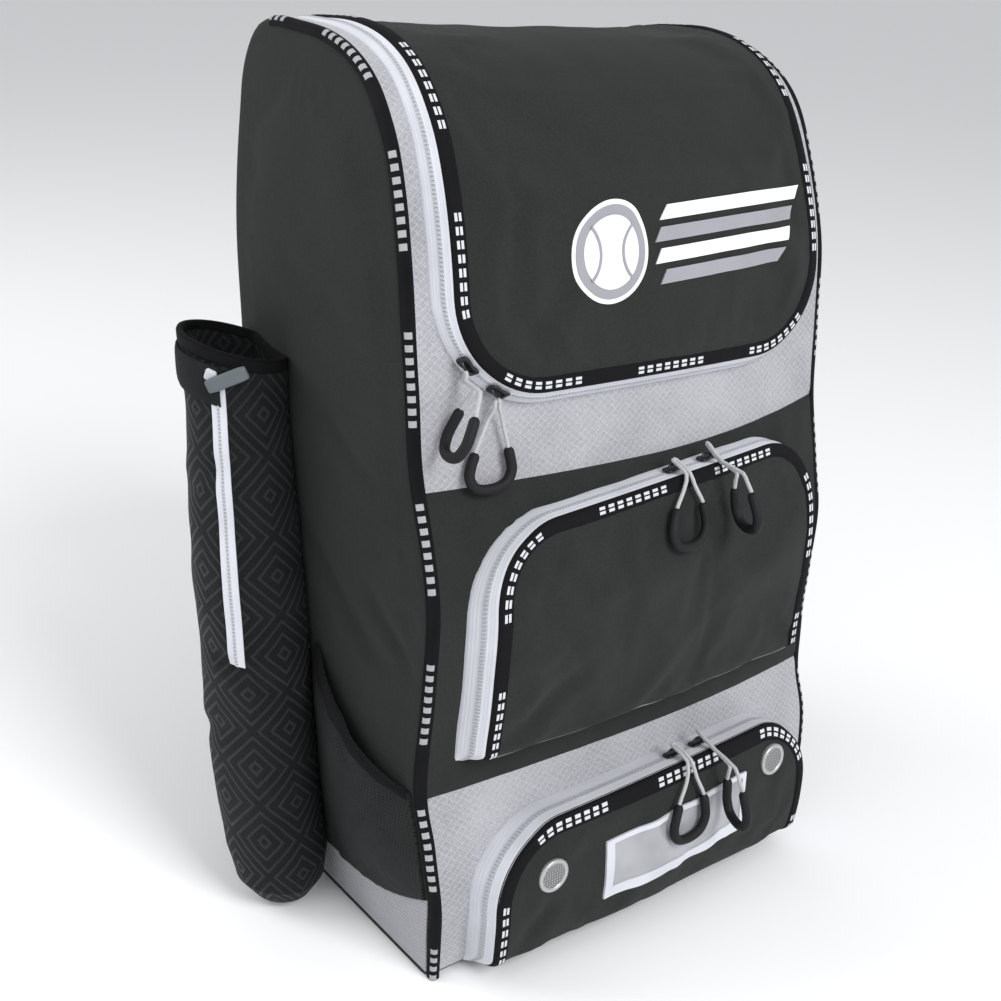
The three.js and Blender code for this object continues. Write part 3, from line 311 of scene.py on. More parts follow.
def curve_through(points, per=48):
    """A centripetal Catmull-Rom curve: cubic pieces whose knots are the roots of the chords."""
    points = np.asarray(points, float)
    first = 2 * points[0] - points[1]
    last = 2 * points[-1] - points[-2]
    p = np.vstack([first, points, last])
    knots = np.linalg.norm(np.diff(p, axis=0), axis=1) ** 0.5
    out = []
    for i in range(1, len(p) - 2):
        a, b, c = knots[i - 1], knots[i], knots[i + 1]
        start = (p[i] - p[i - 1]) / a - (p[i + 1] - p[i - 1]) / (a + b) + (p[i + 1] - p[i]) / b
        end = (p[i + 1] - p[i]) / b - (p[i + 2] - p[i]) / (b + c) + (p[i + 2] - p[i + 1]) / c
        start, end = start * b, end * b
        t = np.linspace(0, 1, per, endpoint=False)[:, None]
        run = p[i + 1] - p[i]
        out.append(p[i] + start * t + (3 * run - 2 * start - end) * t**2
                   + (start + end - 2 * run) * t**3)
    return np.vstack([*out, points[-1:]])


outline_yz = curve_through(side_outline * (bag_depth, bag_height))
outline_s = np.concatenate([[0], np.cumsum(np.linalg.norm(np.diff(outline_yz, axis=0), axis=1))])
cloth_length = outline_s[-1]
slopes = np.gradient(outline_yz, outline_s, axis=0)
outline_out = np.stack([-slopes[:, 1], slopes[:, 0]], axis=1)
outline_out /= np.linalg.norm(outline_out, axis=1, keepdims=True)
top_index = int(np.argmax(outline_yz[:, 0] >= 0.34 * bag_depth))


def along_at_height(z):
    """The length of cloth at which the front first reaches a height."""
    return np.interp(z, outline_yz[:top_index, 1], outline_s[:top_index])


def along_down_back(z):
    """The length of cloth at which the back comes down to a height."""
    return np.interp(-np.asarray(z), -outline_yz[top_index:, 1], outline_s[top_index:])


def along_at_depth(y):
    """The length of cloth at which the top reaches a depth."""
    upper = outline_yz[:, 1] > 0.9 * bag_height
    first = np.argmax(upper)
    rows = slice(first, first + int(np.argmax(outline_yz[first:, 0] >= y)) + 1)
    return np.interp(y, outline_yz[rows, 0], outline_s[rows])


lid_end = along_at_depth(0.46 * bag_depth)
top_middle = along_at_depth(0.2 * bag_depth)


def dome(u, power):
    """1 in the middle of -1 to 1, and 0 at its ends and outside it."""
    return np.maximum(0, 1 - np.abs(u) ** power)


def girth(z):
    """How much wider than its base the bag is at a height."""
    share = np.clip(np.asarray(z, float) / bag_height, 0, 0.999)
    i = np.clip(np.searchsorted(flares[:, 0], share, side="right"), 1, len(flares) - 1)
    t = (share - flares[i - 1, 0]) / (flares[i, 0] - flares[i - 1, 0])
    return 1 + flares[i - 1, 1] + (flares[i, 1] - flares[i - 1, 1]) * t * t * (3 - 2 * t)


def swell(x, s):
    """How far the full bag stands out from its side outline."""
    across = 2 * x / bag_width
    crown = front_crown * dome(across, 2) * dome(2 * s / lid_end - 1, 6)
    from_top = (s - top_middle) / (0.2 * bag_height)
    return crown - top_sag * dome(across, 2) * np.exp(-(from_top**2))


def outline_at(s):
    """The side outline's depth, height and outward direction at lengths of cloth."""
    below = np.minimum(s, 0)
    y = np.interp(s, outline_s, outline_yz[:, 0])
    z = np.interp(s, outline_s, outline_yz[:, 1]) + below
    out_y = np.interp(s, outline_s, outline_out[:, 0])
    out_z = np.interp(s, outline_s, outline_out[:, 1])
    return y, z, out_y, out_z


def skin(x, s, above=0.0):
    """A point of the cloth, a height above it along the outline's outward direction."""
    x, s, above = np.broadcast_arrays(*(np.asarray(v, float) for v in (x, s, above)))
    y, z, out_y, out_z = outline_at(s)
    out = swell(x, s) + above
    return np.stack([x * girth(z), y + out_y * out, z + out_z * out], axis=-1)


def seam_point(side, turn, s, above=0.0):
    """A point on a side seam's rounding: turn is 0 on the front and 90 on the side."""
    turn, s, above = np.broadcast_arrays(*(np.asarray(v, float) for v in (turn, s, above)))
    angle = np.radians(turn)
    reach = corner_radius + above
    x = side * (bag_width / 2 - corner_radius + reach * np.sin(angle))
    y, z, out_y, out_z = outline_at(s)
    out = swell(x, s) * np.cos(angle) + reach * np.cos(angle) - corner_radius
    return np.stack([x * girth(z), y + out_y * out, z + out_z * out], axis=-1)


def depth_range(z):
    """How far forward the front is and how far back the back is at a height."""
    front = np.interp(z, outline_yz[:top_index, 1], outline_yz[:top_index, 0])
    back = np.interp(-np.asarray(z), -outline_yz[top_index:, 1], outline_yz[top_index:, 0])
    return front, back


def ripple(a, b, size, seed):
    """Soft dents from -1 to 1: three crossing sines whose waves are about a size long."""
    total = 0
    for turn, stretch in ((0.0, 1.0), (1.1, 1.37), (2.3, 0.73)):
        angle = seed * 1.7 + turn
        along = (a * math.cos(angle) + b * math.sin(angle)) * 2 * math.pi * stretch / size
        total = total + np.sin(along + seed * 2.9 * stretch)
    return total / 3


def fold(a, b, start, end, width, depth):
    """A crease: a valley of a width along a line, with a low ridge at both its sides."""
    start, end = np.array(start, float), np.array(end, float)
    run = end - start
    length = np.hypot(*run)
    t = ((a - start[0]) * run[0] + (b - start[1]) * run[1]) / length
    off = ((b - start[1]) * run[0] - (a - start[0]) * run[1]) / length / width
    fade = np.clip(np.minimum(t, length - t) / (0.35 * length), 0, 1)
    return -depth * fade**2 * (3 - 2 * fade) * (1 - 2 * off**2) * np.exp(-(off**2))


def grid_faces(rows, columns, start=0, wrap=False):
    """The four-sided faces of a grid of points that are numbered row by row."""
    i = np.arange(rows - 1)[:, None] * columns + start
    j = np.arange(columns if wrap else columns - 1)[None, :]
    k = (j + 1) % columns
    return np.stack([i + j, i + k, i + columns + k, i + columns + j], axis=-1).reshape(-1, 4)


cloth_stiffness = 22
cloth_shear = 8
cloth_bend = 0.6
cloth_pressure = 1.5
cloth_frames = 18


def settle(sheet, outward, hold, excess=0.012, most=4.5):
    """Simulates a sheet of slack cloth and returns how far each point moves outward.

    sheet is a grid of points, and hold is 1 where the cloth is sewn down and near 0 where it
    is loose. The cloth is cut larger than its place by the share excess, and a low pressure
    fills it. The movement is eased off towards its limit: most * tanh(moved / most).
    """
    rows, columns = hold.shape
    mesh = bpy.data.meshes.new("slack")
    faces = grid_faces(rows, columns).tolist()
    mesh.from_pydata((sheet.reshape(-1, 3) * MM).tolist(), [], faces)
    cloth = bpy.data.objects.new("slack", mesh)
    bpy.context.scene.collection.objects.link(cloth)
    group = cloth.vertex_groups.new(name="hold")
    for index, weight in enumerate(hold.ravel().tolist()):
        group.add([index], weight, "REPLACE")
    settings = cloth.modifiers.new("cloth", "CLOTH").settings
    settings.quality = 7
    settings.mass = 0.25
    settings.tension_stiffness = settings.compression_stiffness = cloth_stiffness
    settings.shear_stiffness = cloth_shear
    settings.bending_stiffness = cloth_bend
    settings.vertex_group_mass = "hold"
    settings.pin_stiffness = 1
    settings.shrink_min = -excess
    settings.use_pressure = True
    settings.uniform_pressure_force = cloth_pressure
    settings.effector_weights.gravity = 0
    for number in range(1, cloth_frames + 1):
        bpy.context.scene.frame_set(number)
    shape = cloth.evaluated_get(bpy.context.evaluated_depsgraph_get()).to_mesh()
    moved = np.empty(len(shape.vertices) * 3)
    shape.vertices.foreach_get("co", moved)
    moved = (moved.reshape(rows, columns, 3) / MM - sheet) * outward
    bpy.data.objects.remove(cloth)
    bpy.context.scene.frame_set(1)
    return most * np.tanh(moved.sum(axis=-1) / most)


class Field:
    """Values on an even grid of places, read between its points by straight lines."""

    def __init__(self, a, b, values):
        self.a, self.b, self.values = a, b, values

    def __call__(self, a, b):
        i, p = self.share(self.a, a)
        j, q = self.share(self.b, b)
        v = self.values
        near = v[i, j] * (1 - q) + v[i, j + 1] * q
        far = v[i + 1, j] * (1 - q) + v[i + 1, j + 1] * q
        return near * (1 - p) + far * p

    @staticmethod
    def share(line, value):
        t = np.clip((value - line[0]) / (line[1] - line[0]), 0, len(line) - 1.001)
        i = t.astype(int)
        return i, t - i


def side_form(side, y, z):
    """How full a side panel is at a place, from 0 at its edges to 1, and its plain X."""
    front, back = depth_range(z)
    u = (y - front - corner_radius) / (back - front - 2 * corner_radius)
    v = (z - corner_radius) / (bag_height - 2 * corner_radius)
    inside = [np.sin(np.pi * np.clip(t, 0, 1)) for t in (u, v)]
    full = (inside[0] * inside[1]) ** 0.7
    return full, (bag_width / 2) * girth(z) + side_swell * full


def settle_side(side):
    """The slack of a side panel: loose in the middle, held near its seams."""
    spacing = 5.5
    y = np.arange(-0.55 * bag_depth, 0.68 * bag_depth, spacing)
    z = np.arange(0, bag_height, spacing)
    all_y, all_z = np.meshgrid(y, z, indexing="ij")
    full, x = side_form(side, all_y, all_z)
    sheet = np.stack([side * x, all_y, all_z], axis=-1)
    hold = np.clip(1 - full / 0.35, 0.02, 1)
    return Field(y, z, settle(sheet, np.array([side, 0, 0]), hold, 0.008, 3.0))


side_slack = {side: settle_side(side) for side in (-1, 1)}


def side_x(side, y, z, above=0.0):
    """The X of a side panel's face, which bellies out between its edges and is dented."""
    full, x = side_form(side, y, z)
    dents = 0.8 * ripple(y, z, 170, 2 + side) + 0.4 * ripple(y, z, 62, 5 + side)
    dents = dents + fold(y, z, (60, 300), (-70, 205), 13, 2.0)
    dents = dents + fold(y, z, (95, 470), (-40, 425), 18, 1.5)
    dents = dents + fold(y, z, (-100, 215), (-30, 275), 10, 2.0)
    dents = dents + fold(y, z, (-60, 330), (40, 385), 12, 1.5)
    dents = dents + side_slack[side](y, z)
    return side * (x + dents * np.minimum(2.5 * full, 1) + above)


def add_mesh(name, points, faces, finish, uv=None, nodes=(), triangles=()):
    """A piece from points in millimetres that rides on the bag and stands for CAD nodes."""
    points = np.asarray(points, float)
    corners = points[faces] - points.mean(axis=0)
    sense = np.cross(corners[:, 1] - corners[:, 0], corners[:, 2] - corners[:, 0])
    inward = np.einsum("ij,ij->i", corners[:, 0], sense).sum() < 0
    every = [list(face) for face in (*faces.tolist(), *np.asarray(triangles, int).tolist())]
    if inward:
        every = [face[::-1] for face in every]
    mesh = bpy.data.meshes.new(name)
    mesh.from_pydata((points * MM).tolist(), [], every)
    mesh.polygons.foreach_set("use_smooth", [True] * len(every))
    if uv is not None:
        layer = mesh.uv_layers.new(name="UVMap")
        loops = np.empty(len(mesh.loops), int)
        mesh.loops.foreach_get("vertex_index", loops)
        layer.data.foreach_set("uv", np.asarray(uv, float).reshape(-1, 2)[loops].ravel())
    mesh.materials.append(finish.material)
    mesh.set_sharp_from_angle(angle=math.radians(50))
    piece = bpy.data.objects.new(name, mesh)
    bpy.context.scene.collection.objects.link(piece)
    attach(piece, "root")
    if nodes:
        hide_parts(*nodes)
    return piece


def add_slab(name, over, under, finish, uv, nodes=(), wrap=False):
    """A closed sheet between two grids of points, joined round their edges."""
    rows, columns = over.shape[:2]
    size = rows * columns
    first_row = np.arange(columns)
    last_row = first_row + size - columns
    rims = [(first_row, -1), (last_row, 1)]
    if not wrap:
        first_column = np.arange(rows) * columns
        rims += [(first_column, 1), (first_column + columns - 1, -1)]
    faces = [grid_faces(rows, columns, 0, wrap), grid_faces(rows, columns, size, wrap)[:, ::-1]]
    for k, (rim, way) in enumerate(rims):
        a = rim if wrap and k < 2 else rim[:-1]
        b = np.roll(rim, -1) if wrap and k < 2 else rim[1:]
        wall_faces = np.stack([a, b, b + size, a + size], axis=-1)
        faces.append(wall_faces[:, ::way])
    points = np.concatenate([over.reshape(-1, 3), under.reshape(-1, 3)])
    both = np.concatenate([np.asarray(uv, float).reshape(-1, 2)] * 2)
    return add_mesh(name, points, np.concatenate(faces), finish, both, nodes)


def add_stack(name, rings, finish, uv, nodes=()):
    """A closed piece through a stack of rings, with a fan of triangles at both ends."""
    rows, columns = rings.shape[:2]
    size = rows * columns
    poles = np.stack([rings[0].mean(axis=0), rings[-1].mean(axis=0)])
    points = np.concatenate([rings.reshape(-1, 3), poles])
    j = np.arange(columns)
    k = (j + 1) % columns
    start = np.stack([np.full(columns, size), k, j], axis=-1)
    end = np.stack([np.full(columns, size + 1), size - columns + j, size - columns + k], axis=-1)
    uv = np.asarray(uv, float).reshape(rows, columns, 2)
    uv = np.concatenate([uv.reshape(-1, 2), uv[0].mean(0)[None], uv[-1].mean(0)[None]])
    faces = grid_faces(rows, columns, 0, wrap=True)
    return add_mesh(name, points, faces, finish, uv, nodes, np.concatenate([start, end]))


def steps(a, b, step):
    """Numbers from a to b in even steps no longer than step."""
    return np.linspace(a, b, max(2, int(math.ceil(abs(b - a) / step)) + 1))


# Body: the charcoal sides, top, back and base, sewn from soft cloth that dents a little. Its
# front lies just behind the front panels.

panel_turn = 20
panel_half = bag_width / 2 - corner_radius * (1 - math.sin(math.radians(panel_turn)))
behind_panels = 4
side_middle = np.array([0.1 * bag_depth, 0.45 * bag_height])


def body_ring(side, turn, x):
    """One line round the body: up the front, over the top, down the back, under the base."""
    rows = np.concatenate([steps(0, lid_end, 5), steps(lid_end, cloth_length, 7)[1:]])
    if turn == 0:
        ring = skin(x, rows, -behind_panels * (rows < lid_end - 1))
    else:
        ring = seam_point(side, turn, rows)
    angles = np.radians(np.linspace(15, 90, 6))

    def foot(start, way):
        y = start[1] + way * foot_radius * (1 - np.cos(angles))
        z = foot_radius * (1 - np.sin(angles))
        return np.stack([np.full(6, start[0]), y, z], axis=1)

    front, back = ring[0], ring[-1]
    base_y = np.linspace(back[1], front[1], 22)[1:-1]
    base = np.stack([np.full(20, front[0]), base_y, np.zeros(20)], axis=1)
    return np.vstack([ring, foot(back, -1), base, foot(front, 1)[::-1]])


def side_cap(side, shares):
    """The side panel: the edge ring drawn in towards a middle."""
    edge = body_ring(side, 90, 0)[None, :, 1:]
    y, z = np.moveaxis(side_middle + (edge - side_middle) * shares[:, None, None], -1, 0)
    return np.stack([side_x(side, y, z), y, z], axis=-1)


def add_body():
    """One closed mesh from the left side panel to the right one."""
    shares = 1 - np.linspace(0, 1, 60)[:-1] ** 1.3
    seam_turns = (panel_turn, 30, 42, 54, 66, 78)
    flat = bag_width / 2 - corner_radius
    rings = [side_cap(-1, shares)[::-1]]
    rings += [body_ring(-1, turn, 0)[None] for turn in reversed(seam_turns)]
    rings += [body_ring(0, 0, x)[None] for x in np.linspace(-flat, flat, 41)]
    rings += [body_ring(1, turn, 0)[None] for turn in seam_turns]
    rings.append(side_cap(1, shares))
    rings = np.concatenate(rings)
    add_stack("body_cloth", rings, charcoal, rings[..., [1, 2]], ["body_shell"])


add_body()


# Foot panels: grey ribbed cloth low on both sides, sewn on over the charcoal. The upper edge
# climbs towards the front.

grey = (0.35, 0.347, 0.375)


def ribbed_cloth():
    """Light grey cloth with fine level ribs."""
    finish = Finish("ribbed_grey", "grey_fabric", grey, 0.8, 0.2)
    u, v = finish.cloth()
    ribs = v.wave(3.2)
    tone = 0.5 + ribs * 0.25 + (finish.grain(45.0) - 0.5) * 0.5 + (finish.grain(2.0) - 0.5) * 0.4
    colours = finish.blend(tone, shade(grey, 0.74), shade(grey, 1.1))
    return finish.paint(colours, height=ribs, distance=0.35)


ribbed = ribbed_cloth()
foot_panel_back = 36
foot_panel_front = 70


def foot_panel_top(y):
    """The height of the grey panel's upper edge."""
    forward = np.clip(-y / (0.5 * bag_depth), 0, 1)
    return foot_panel_back + (foot_panel_front - foot_panel_back) * forward**2.2


def add_foot_panels():
    """A thin sheet over the side panel, from near the front seam to near the back."""
    front, back = depth_range(foot_radius)
    y = steps(front + 0.75 * corner_radius, back - corner_radius, 5)[None, :]
    low = foot_radius
    z = low + (foot_panel_top(y) - low) * np.linspace(0, 1, 16)[:, None]
    y = np.broadcast_to(y, z.shape)
    for side, name in ((-1, "left"), (1, "right")):
        layers = [np.stack([side_x(side, y, z, above), y, z], axis=-1) for above in (0.9, -1.5)]
        uv = np.stack([y, z], axis=-1)
        add_slab(f"foot_panel_{name}", *layers, ribbed, uv, [f"base_panel_{name}"])


add_foot_panels()


# Pockets. The lid on top and the two pockets below it share one form: a round-cornered
# outline whose flap stands proud of the panel, with the zip tape as the steep wall between.


def make_pocket(half, head, foot, radius, flap_radius, slant, foot_slant,
                gusset, gusset_head, foot_roll, proud, belly):
    """A pocket's sizes. half is a share of the width, head and foot are lengths of cloth."""
    return SimpleNamespace(
        half=half * bag_width, head=float(head), foot=float(foot),
        towards=float(np.sign(head - foot)), radius=radius, flap_radius=flap_radius,
        slant=slant, foot_slant=foot_slant, gusset=gusset, gusset_head=gusset_head,
        foot_roll=foot_roll, proud=proud, belly=belly,
    )


lid_head, mid_head, mid_foot, low_head, low_foot = (
    along_at_height(share * bag_height) for share in (0.643, 0.544, 0.266, 0.188, 0.0095)
)
pocket_sizes = {
    # half the width, head, foot, radius, flap's radius, slant of the head and of the foot,
    # gusset at the sides and at the head, roll at the foot, how far proud, belly
    "lid": (0.456, lid_head, lid_end, 80, 64, 0, 0, 9, 10, 300, 13, 6),
    "mid": (0.430, mid_head, mid_foot, 62, 50, 24, 4, 10, 5, 12, 20, 5),
    "low": (0.426, low_head, low_foot, 60, 54, 8, 0, 5, 4, 20, 27, 4),
}
pockets = {name: make_pocket(*sizes) for name, sizes in pocket_sizes.items()}
lid, mid, low = pockets.values()
binding_width = 10


def head_inset(pocket, inset):
    """How far an inset moves the round end of an outline."""
    within = inset * pocket.gusset_head / pocket.gusset
    return np.where(inset < pocket.gusset, within, pocket.gusset_head + inset - pocket.gusset)


def corner_at(pocket, inset):
    """The corner radius of a pocket's outline at an inset."""
    within = pocket.radius + (pocket.flap_radius - pocket.radius) * inset / pocket.gusset
    return np.where(inset < pocket.gusset, within, pocket.flap_radius + pocket.gusset - inset)


def inset_at(pocket, x, s, most=None):
    """How far inside a pocket's outline a place lies, found by halving, up to its gusset."""
    low_end = np.zeros(np.broadcast(x, s).shape)
    high_end = low_end + (pocket.gusset if most is None else most)
    for _ in range(16):
        inset = (low_end + high_end) / 2
        corner = corner_at(pocket, inset)
        u = (np.abs(x) - pocket.half + inset + corner) / corner
        v = (pocket.towards * (s - pocket.head) + head_inset(pocket, inset) + corner) / corner
        rounded = (u > 0) & (v > 0)
        outside = np.where(rounded, np.hypot(u, v) > 1, np.maximum(u, v) > 1)
        low_end = np.where(outside, low_end, inset)
        high_end = np.where(outside, inset, high_end)
    return (low_end + high_end) / 2


def straight(pocket, x, s):
    """The length of cloth that a slanted pocket's place would have without its slant."""
    aside = x / (2 * pocket.half)
    stretch = 1 + aside * (pocket.slant - pocket.foot_slant) / (pocket.head - pocket.foot)
    return pocket.foot + (s - pocket.foot - aside * pocket.foot_slant) / stretch


def slanted(pocket, x, s):
    """Raises a pocket's places towards its right side."""
    up = (s - pocket.foot) / (pocket.head - pocket.foot)
    slant = pocket.foot_slant + (pocket.slant - pocket.foot_slant) * up
    return s + slant * x / (2 * pocket.half)


def rise(pocket, x, along):
    """How far a pocket's cloth stands proud of the skin at a place."""
    x, along = np.broadcast_arrays(np.asarray(x, float), np.asarray(along, float))
    s = straight(pocket, x, along)
    rest = 1 - np.clip((s - pocket.foot) * pocket.towards / pocket.foot_roll, 0, 1)
    wall_share = np.minimum(inset_at(pocket, x, s) / pocket.gusset, 1)
    up = 2 * (s - pocket.foot) / (pocket.head - pocket.foot) - 1
    full = pocket.belly * dome(x / pocket.half, 2) * dome(up, 2)
    return pocket.proud * wall_share * (1 - rest**2) + full


def pocket_dents(pocket, x, s):
    """Soft dents and creases of a pocket's cloth, which fade out at its zip tape."""
    inside = np.clip((inset_at(pocket, x, straight(pocket, x, s), 40) - 8) / 28, 0, 1)
    seed = pocket.radius
    dents = 1.2 * ripple(x, s, 150, seed) + 0.5 * ripple(x, s, 55, seed + 1)
    foot = pocket.foot
    head = pocket.head
    if pocket is mid:
        dents = dents + fold(x, s, (-150, foot + 8), (-60, foot + 70), 11, 2.2)
        dents = dents + fold(x, s, (150, foot + 12), (90, foot + 60), 10, 2.0)
        dents = dents + fold(x, s, (-30, foot - 4), (20, foot + 46), 12, 1.8)
        dents = dents + fold(x, s, (-130, head - 22), (-70, head - 70), 12, 1.6)
        dents = dents + 1.5 * np.exp(-(((s - foot) / 14) ** 2)) * ripple(x, s, 70, 3)
    if pocket is low:
        dents = dents + fold(x, s, (-150, foot + 10), (-95, foot + 60), 11, 1.8)
        dents = dents + fold(x, s, (145, foot + 16), (80, foot + 40), 10, 1.4)
    if pocket is lid:
        dents = dents + fold(x, s, (-120, head + 30), (-60, head + 90), 14, 1.6)
        dents = dents + fold(x, s, (130, head + 60), (60, head + 120), 16, 1.5)
        dents = dents + fold(x, s, (-130, head + 180), (-30, head + 150), 18, 1.6)
    return dents * inside + pocket.slack(x, s) * inside


def settle_pocket(pocket):
    """The slack of a flap: loose inside its binding, held outside it."""
    low_end, high_end = sorted((pocket.foot, pocket.head))
    x = np.arange(-pocket.half - 8, pocket.half + 8, 5)
    s = np.arange(low_end - 10, high_end + 14, 5)
    all_x, all_s = np.meshgrid(x, s, indexing="ij")
    sheet = skin(all_x, all_s, rise(pocket, all_x, all_s))
    _, _, out_y, out_z = outline_at(all_s)
    inside = inset_at(pocket, all_x, straight(pocket, all_x, all_s), 40)
    hold = np.clip(1 - (inside - pocket.gusset) / 16, 0.015, 1)
    near_foot = np.abs(all_s - pocket.foot) < 8
    hold = np.where(near_foot, 1, hold)
    outward = np.stack([0 * out_y, out_y, out_z], axis=-1)
    return Field(x, s, settle(sheet, outward, hold))


for pocket in pockets.values():
    pocket.slack = settle_pocket(pocket)


def flap_point(pocket, x, s, above=0.0):
    """A point of a pocket's cloth with its dents, a height above it."""
    proud = rise(pocket, x, s)
    lift = np.maximum(proud + pocket_dents(pocket, x, s), np.minimum(proud, 0.4))
    return skin(x, s, above + lift)


def half_outline(pocket, inset, foot=None):
    """Half of a pocket's outline, from the foot of one leg to the end of its corner."""
    half = pocket.half - inset
    corner = float(corner_at(pocket, inset))
    turn = pocket.head - pocket.towards * (float(head_inset(pocket, inset)) + corner)
    start = pocket.foot if foot is None else foot
    near = start + pocket.towards * np.array([0, 2, 4.5, 8])
    count = int(abs(pocket.head - pocket.foot) / 4.5)
    leg = np.concatenate([near, np.linspace(near[-1], turn, count)[1:]])
    angles = np.radians(np.linspace(0, 90, 22))[1:]
    arc_x = half - corner + corner * np.cos(angles)
    arc_s = turn + pocket.towards * corner * np.sin(angles)
    return np.concatenate([np.full(len(leg), half), arc_x]), np.concatenate([leg, arc_s])


def pocket_fill(pocket, inset, columns=72):
    """A grid of places that fills a pocket's outline: the across and the along values."""
    half, s = half_outline(pocket, inset)
    x = half[:, None] * np.linspace(-1, 1, columns + 1)[None, :]
    return x, slanted(pocket, x, s[:, None] + 0 * x)


def pocket_band(pocket, insets, foot=None):
    """Places along a pocket's outline at several insets, up one leg and down the other."""
    lines = []
    for inset in insets:
        half, s = half_outline(pocket, inset, foot)
        head = np.linspace(-half[-1], half[-1], 60)[1:-1]
        x = np.concatenate([-half, head, half[::-1]])
        s = np.concatenate([s, np.full(58, s[-1]), s[::-1]])
        lines.append((x, slanted(pocket, x, s)))
    x = np.stack([line[0] for line in lines], axis=1)
    s = np.stack([line[1] for line in lines], axis=1)
    middle = len(insets) // 2
    run = np.hypot(np.diff(x[:, middle]), np.diff(s[:, middle]))
    length = np.concatenate([[0], np.cumsum(run)])
    return x, s, length


# Front panels: grey above, charcoal in the middle and grey below, sewn edge to edge across the
# front. The cloth is a little baggy, with creases that run from the zips.


def crosshatched_cloth():
    """Light grey ripstop: paler diagonal threads that cross, over a fine weave."""
    finish = Finish("crosshatched_grey", "grey_fabric", grey, 0.78, 0.25)
    u, v = finish.cloth()
    one = (u + v * 1.15).line(6.4, 1.1)
    other = (u - v * 1.15).line(6.4, 1.1)
    lines = one.math("MAXIMUM", other)
    # Partly painted light: the slow drift is random tone, made strong to paint the lighter and
    # darker patches of a silvery sheen.
    drift = finish.grain(70.0) - 0.5
    flecks = finish.grain(1.6) - 0.5
    tone = 0.40 + lines * 0.45 + drift * 1.0 + flecks * 1.0
    colours = finish.blend(tone, shade(grey, 0.70), shade(grey, 1.34))
    return finish.paint(colours, height=lines * 0.8 + flecks * 1.0, distance=0.35)


crosshatched = crosshatched_cloth()
upper_seam = (0.570, 0.562, 0.592)
lower_seam = (0.226, 0.226, 0.236)
panel_foot = 2.3
panel_back = -3.2
seam_dip = 1.1
sunk_under_flaps = 2.4


def seam_along(seam, x):
    """The length of cloth to a cross seam, given as heights at the left, middle and right."""
    left, middle, right = seam
    u = 2 * x / bag_width
    share = middle + (np.where(u < 0, left, right) - middle) * u * u
    return along_at_height(share * bag_height)


def panel_dents(x, s):
    """Soft dents and creases of the front panels, at a place of the cloth."""
    dents = 0.9 * ripple(x, s, 120, 4) + 0.5 * ripple(x, s, 48, 9)
    for pocket in pockets.values():
        beside_zip = np.exp(-(((s - slanted(pocket, x, pocket.head)) / 24) ** 2))
        dents = dents + 1.3 * beside_zip * ripple(x * 1.6, s * 0.35, 58, pocket.radius)
    for seam_height in (upper_seam[1], lower_seam[1]):
        beside_seam = np.exp(-(((s - along_at_height(seam_height * bag_height)) / 16) ** 2))
        dents = dents + 0.8 * beside_seam * ripple(x * 1.8, s * 0.3, 60, 31)
    seam = along_at_height(upper_seam[1] * bag_height)
    for x_from, x_to, rise_by, width, depth in (
        (-172, -150, 52, 9, 1.8), (-140, -128, 40, 8, 1.4), (-60, -72, 36, 8, 1.2),
        (20, 8, 38, 9, 1.3), (95, 120, 42, 9, 1.6), (168, 150, 66, 10, 1.9),
    ):
        dents = dents + fold(x, s, (x_from, seam + 4), (x_to, seam + 4 + rise_by), width, depth)
    return dents


def add_front_panel(name, low_at, high_at, finish, node):
    """A slab of cloth between two lines across the bag."""
    half = panel_half - 0.3
    x = steps(-half, half, 4.5)[None, :]
    share = np.linspace(0, 1, max(12, int((high_at(0) - low_at(0)) / 4.5)))[:, None]
    s = low_at(x) + (high_at(x) - low_at(x)) * share
    x = np.broadcast_to(x, s.shape)
    edge = np.clip(np.minimum(half - np.abs(x), 14) / 14, 0, 1)
    seam = np.clip(np.minimum(s - low_at(x), high_at(x) - s) / 7, 0, 1)
    sunk = np.zeros(x.shape)
    for pocket in pockets.values():
        covered = inset_at(pocket, x, straight(pocket, x, s), 12)
        above_foot = pocket.towards * (s - pocket.foot) > -1
        sunk = np.maximum(sunk, np.clip((covered - 1.5) / 3, 0, 1) * above_foot)
    above = panel_dents(x, s) * edge * (0.4 + 0.6 * seam) - seam_dip * (1 - seam) ** 2
    above = above * (1 - sunk) - sunk_under_flaps * sunk
    over = skin(x, s, above)
    under = skin(x, s, panel_back)
    add_slab(name, over, under, finish, np.stack([x, s], axis=-1), [node])


def add_front_panels():
    """The three front panels, between four lines across the bag."""
    def top(x):
        return lid_end + 0 * x

    def upper(x):
        return seam_along(upper_seam, x)

    def lower(x):
        return seam_along(lower_seam, x)

    def bottom(x):
        return panel_foot + 0 * x

    add_front_panel("panel_upper_cloth", upper, top, crosshatched, "panel_upper")
    add_front_panel("panel_middle_cloth", lower, upper, charcoal, "panel_middle")
    add_front_panel("panel_lower_cloth", bottom, lower, crosshatched, "panel_lower")


add_front_panels()


# Zip tapes, bindings and flaps of the three pockets. Each tape is near-white, with the coil
# of its zip down the middle; a black 10 mm binding with white bars is sewn round each flap.


def taped_cloth():
    """Near-white woven tape. Its v runs over the tape from -1 to 1, with the coil at 0."""
    tape = (0.60, 0.61, 0.66)
    finish = Finish("zip_tape", "zip_tape", tape, 0.7, 0.15)
    u, v = finish.cloth()
    coil = v.within(0.15)
    teeth = u.wave(2.6)
    edge = (abs(v) - 0.18).within(0.04)
    ribs = v.wave(0.22)
    # Painted shade: the coil, every other tooth along it and the grooves at its sides are darker.
    tone = 0.8 - coil * 0.22 - edge * 0.22 + coil * teeth * 0.22
    tone = tone + ribs * 0.04 + (finish.grain(30.0) - 0.5) * 0.5
    colours = finish.blend(tone, shade(tape, 0.55), shade(tape, 1.12))
    return finish.paint(colours, height=coil * teeth * 1.2 + ribs * 0.08, distance=0.5)


mark_pitch = 7.8
marks_in_group = 8
mark_repeat = 107.0


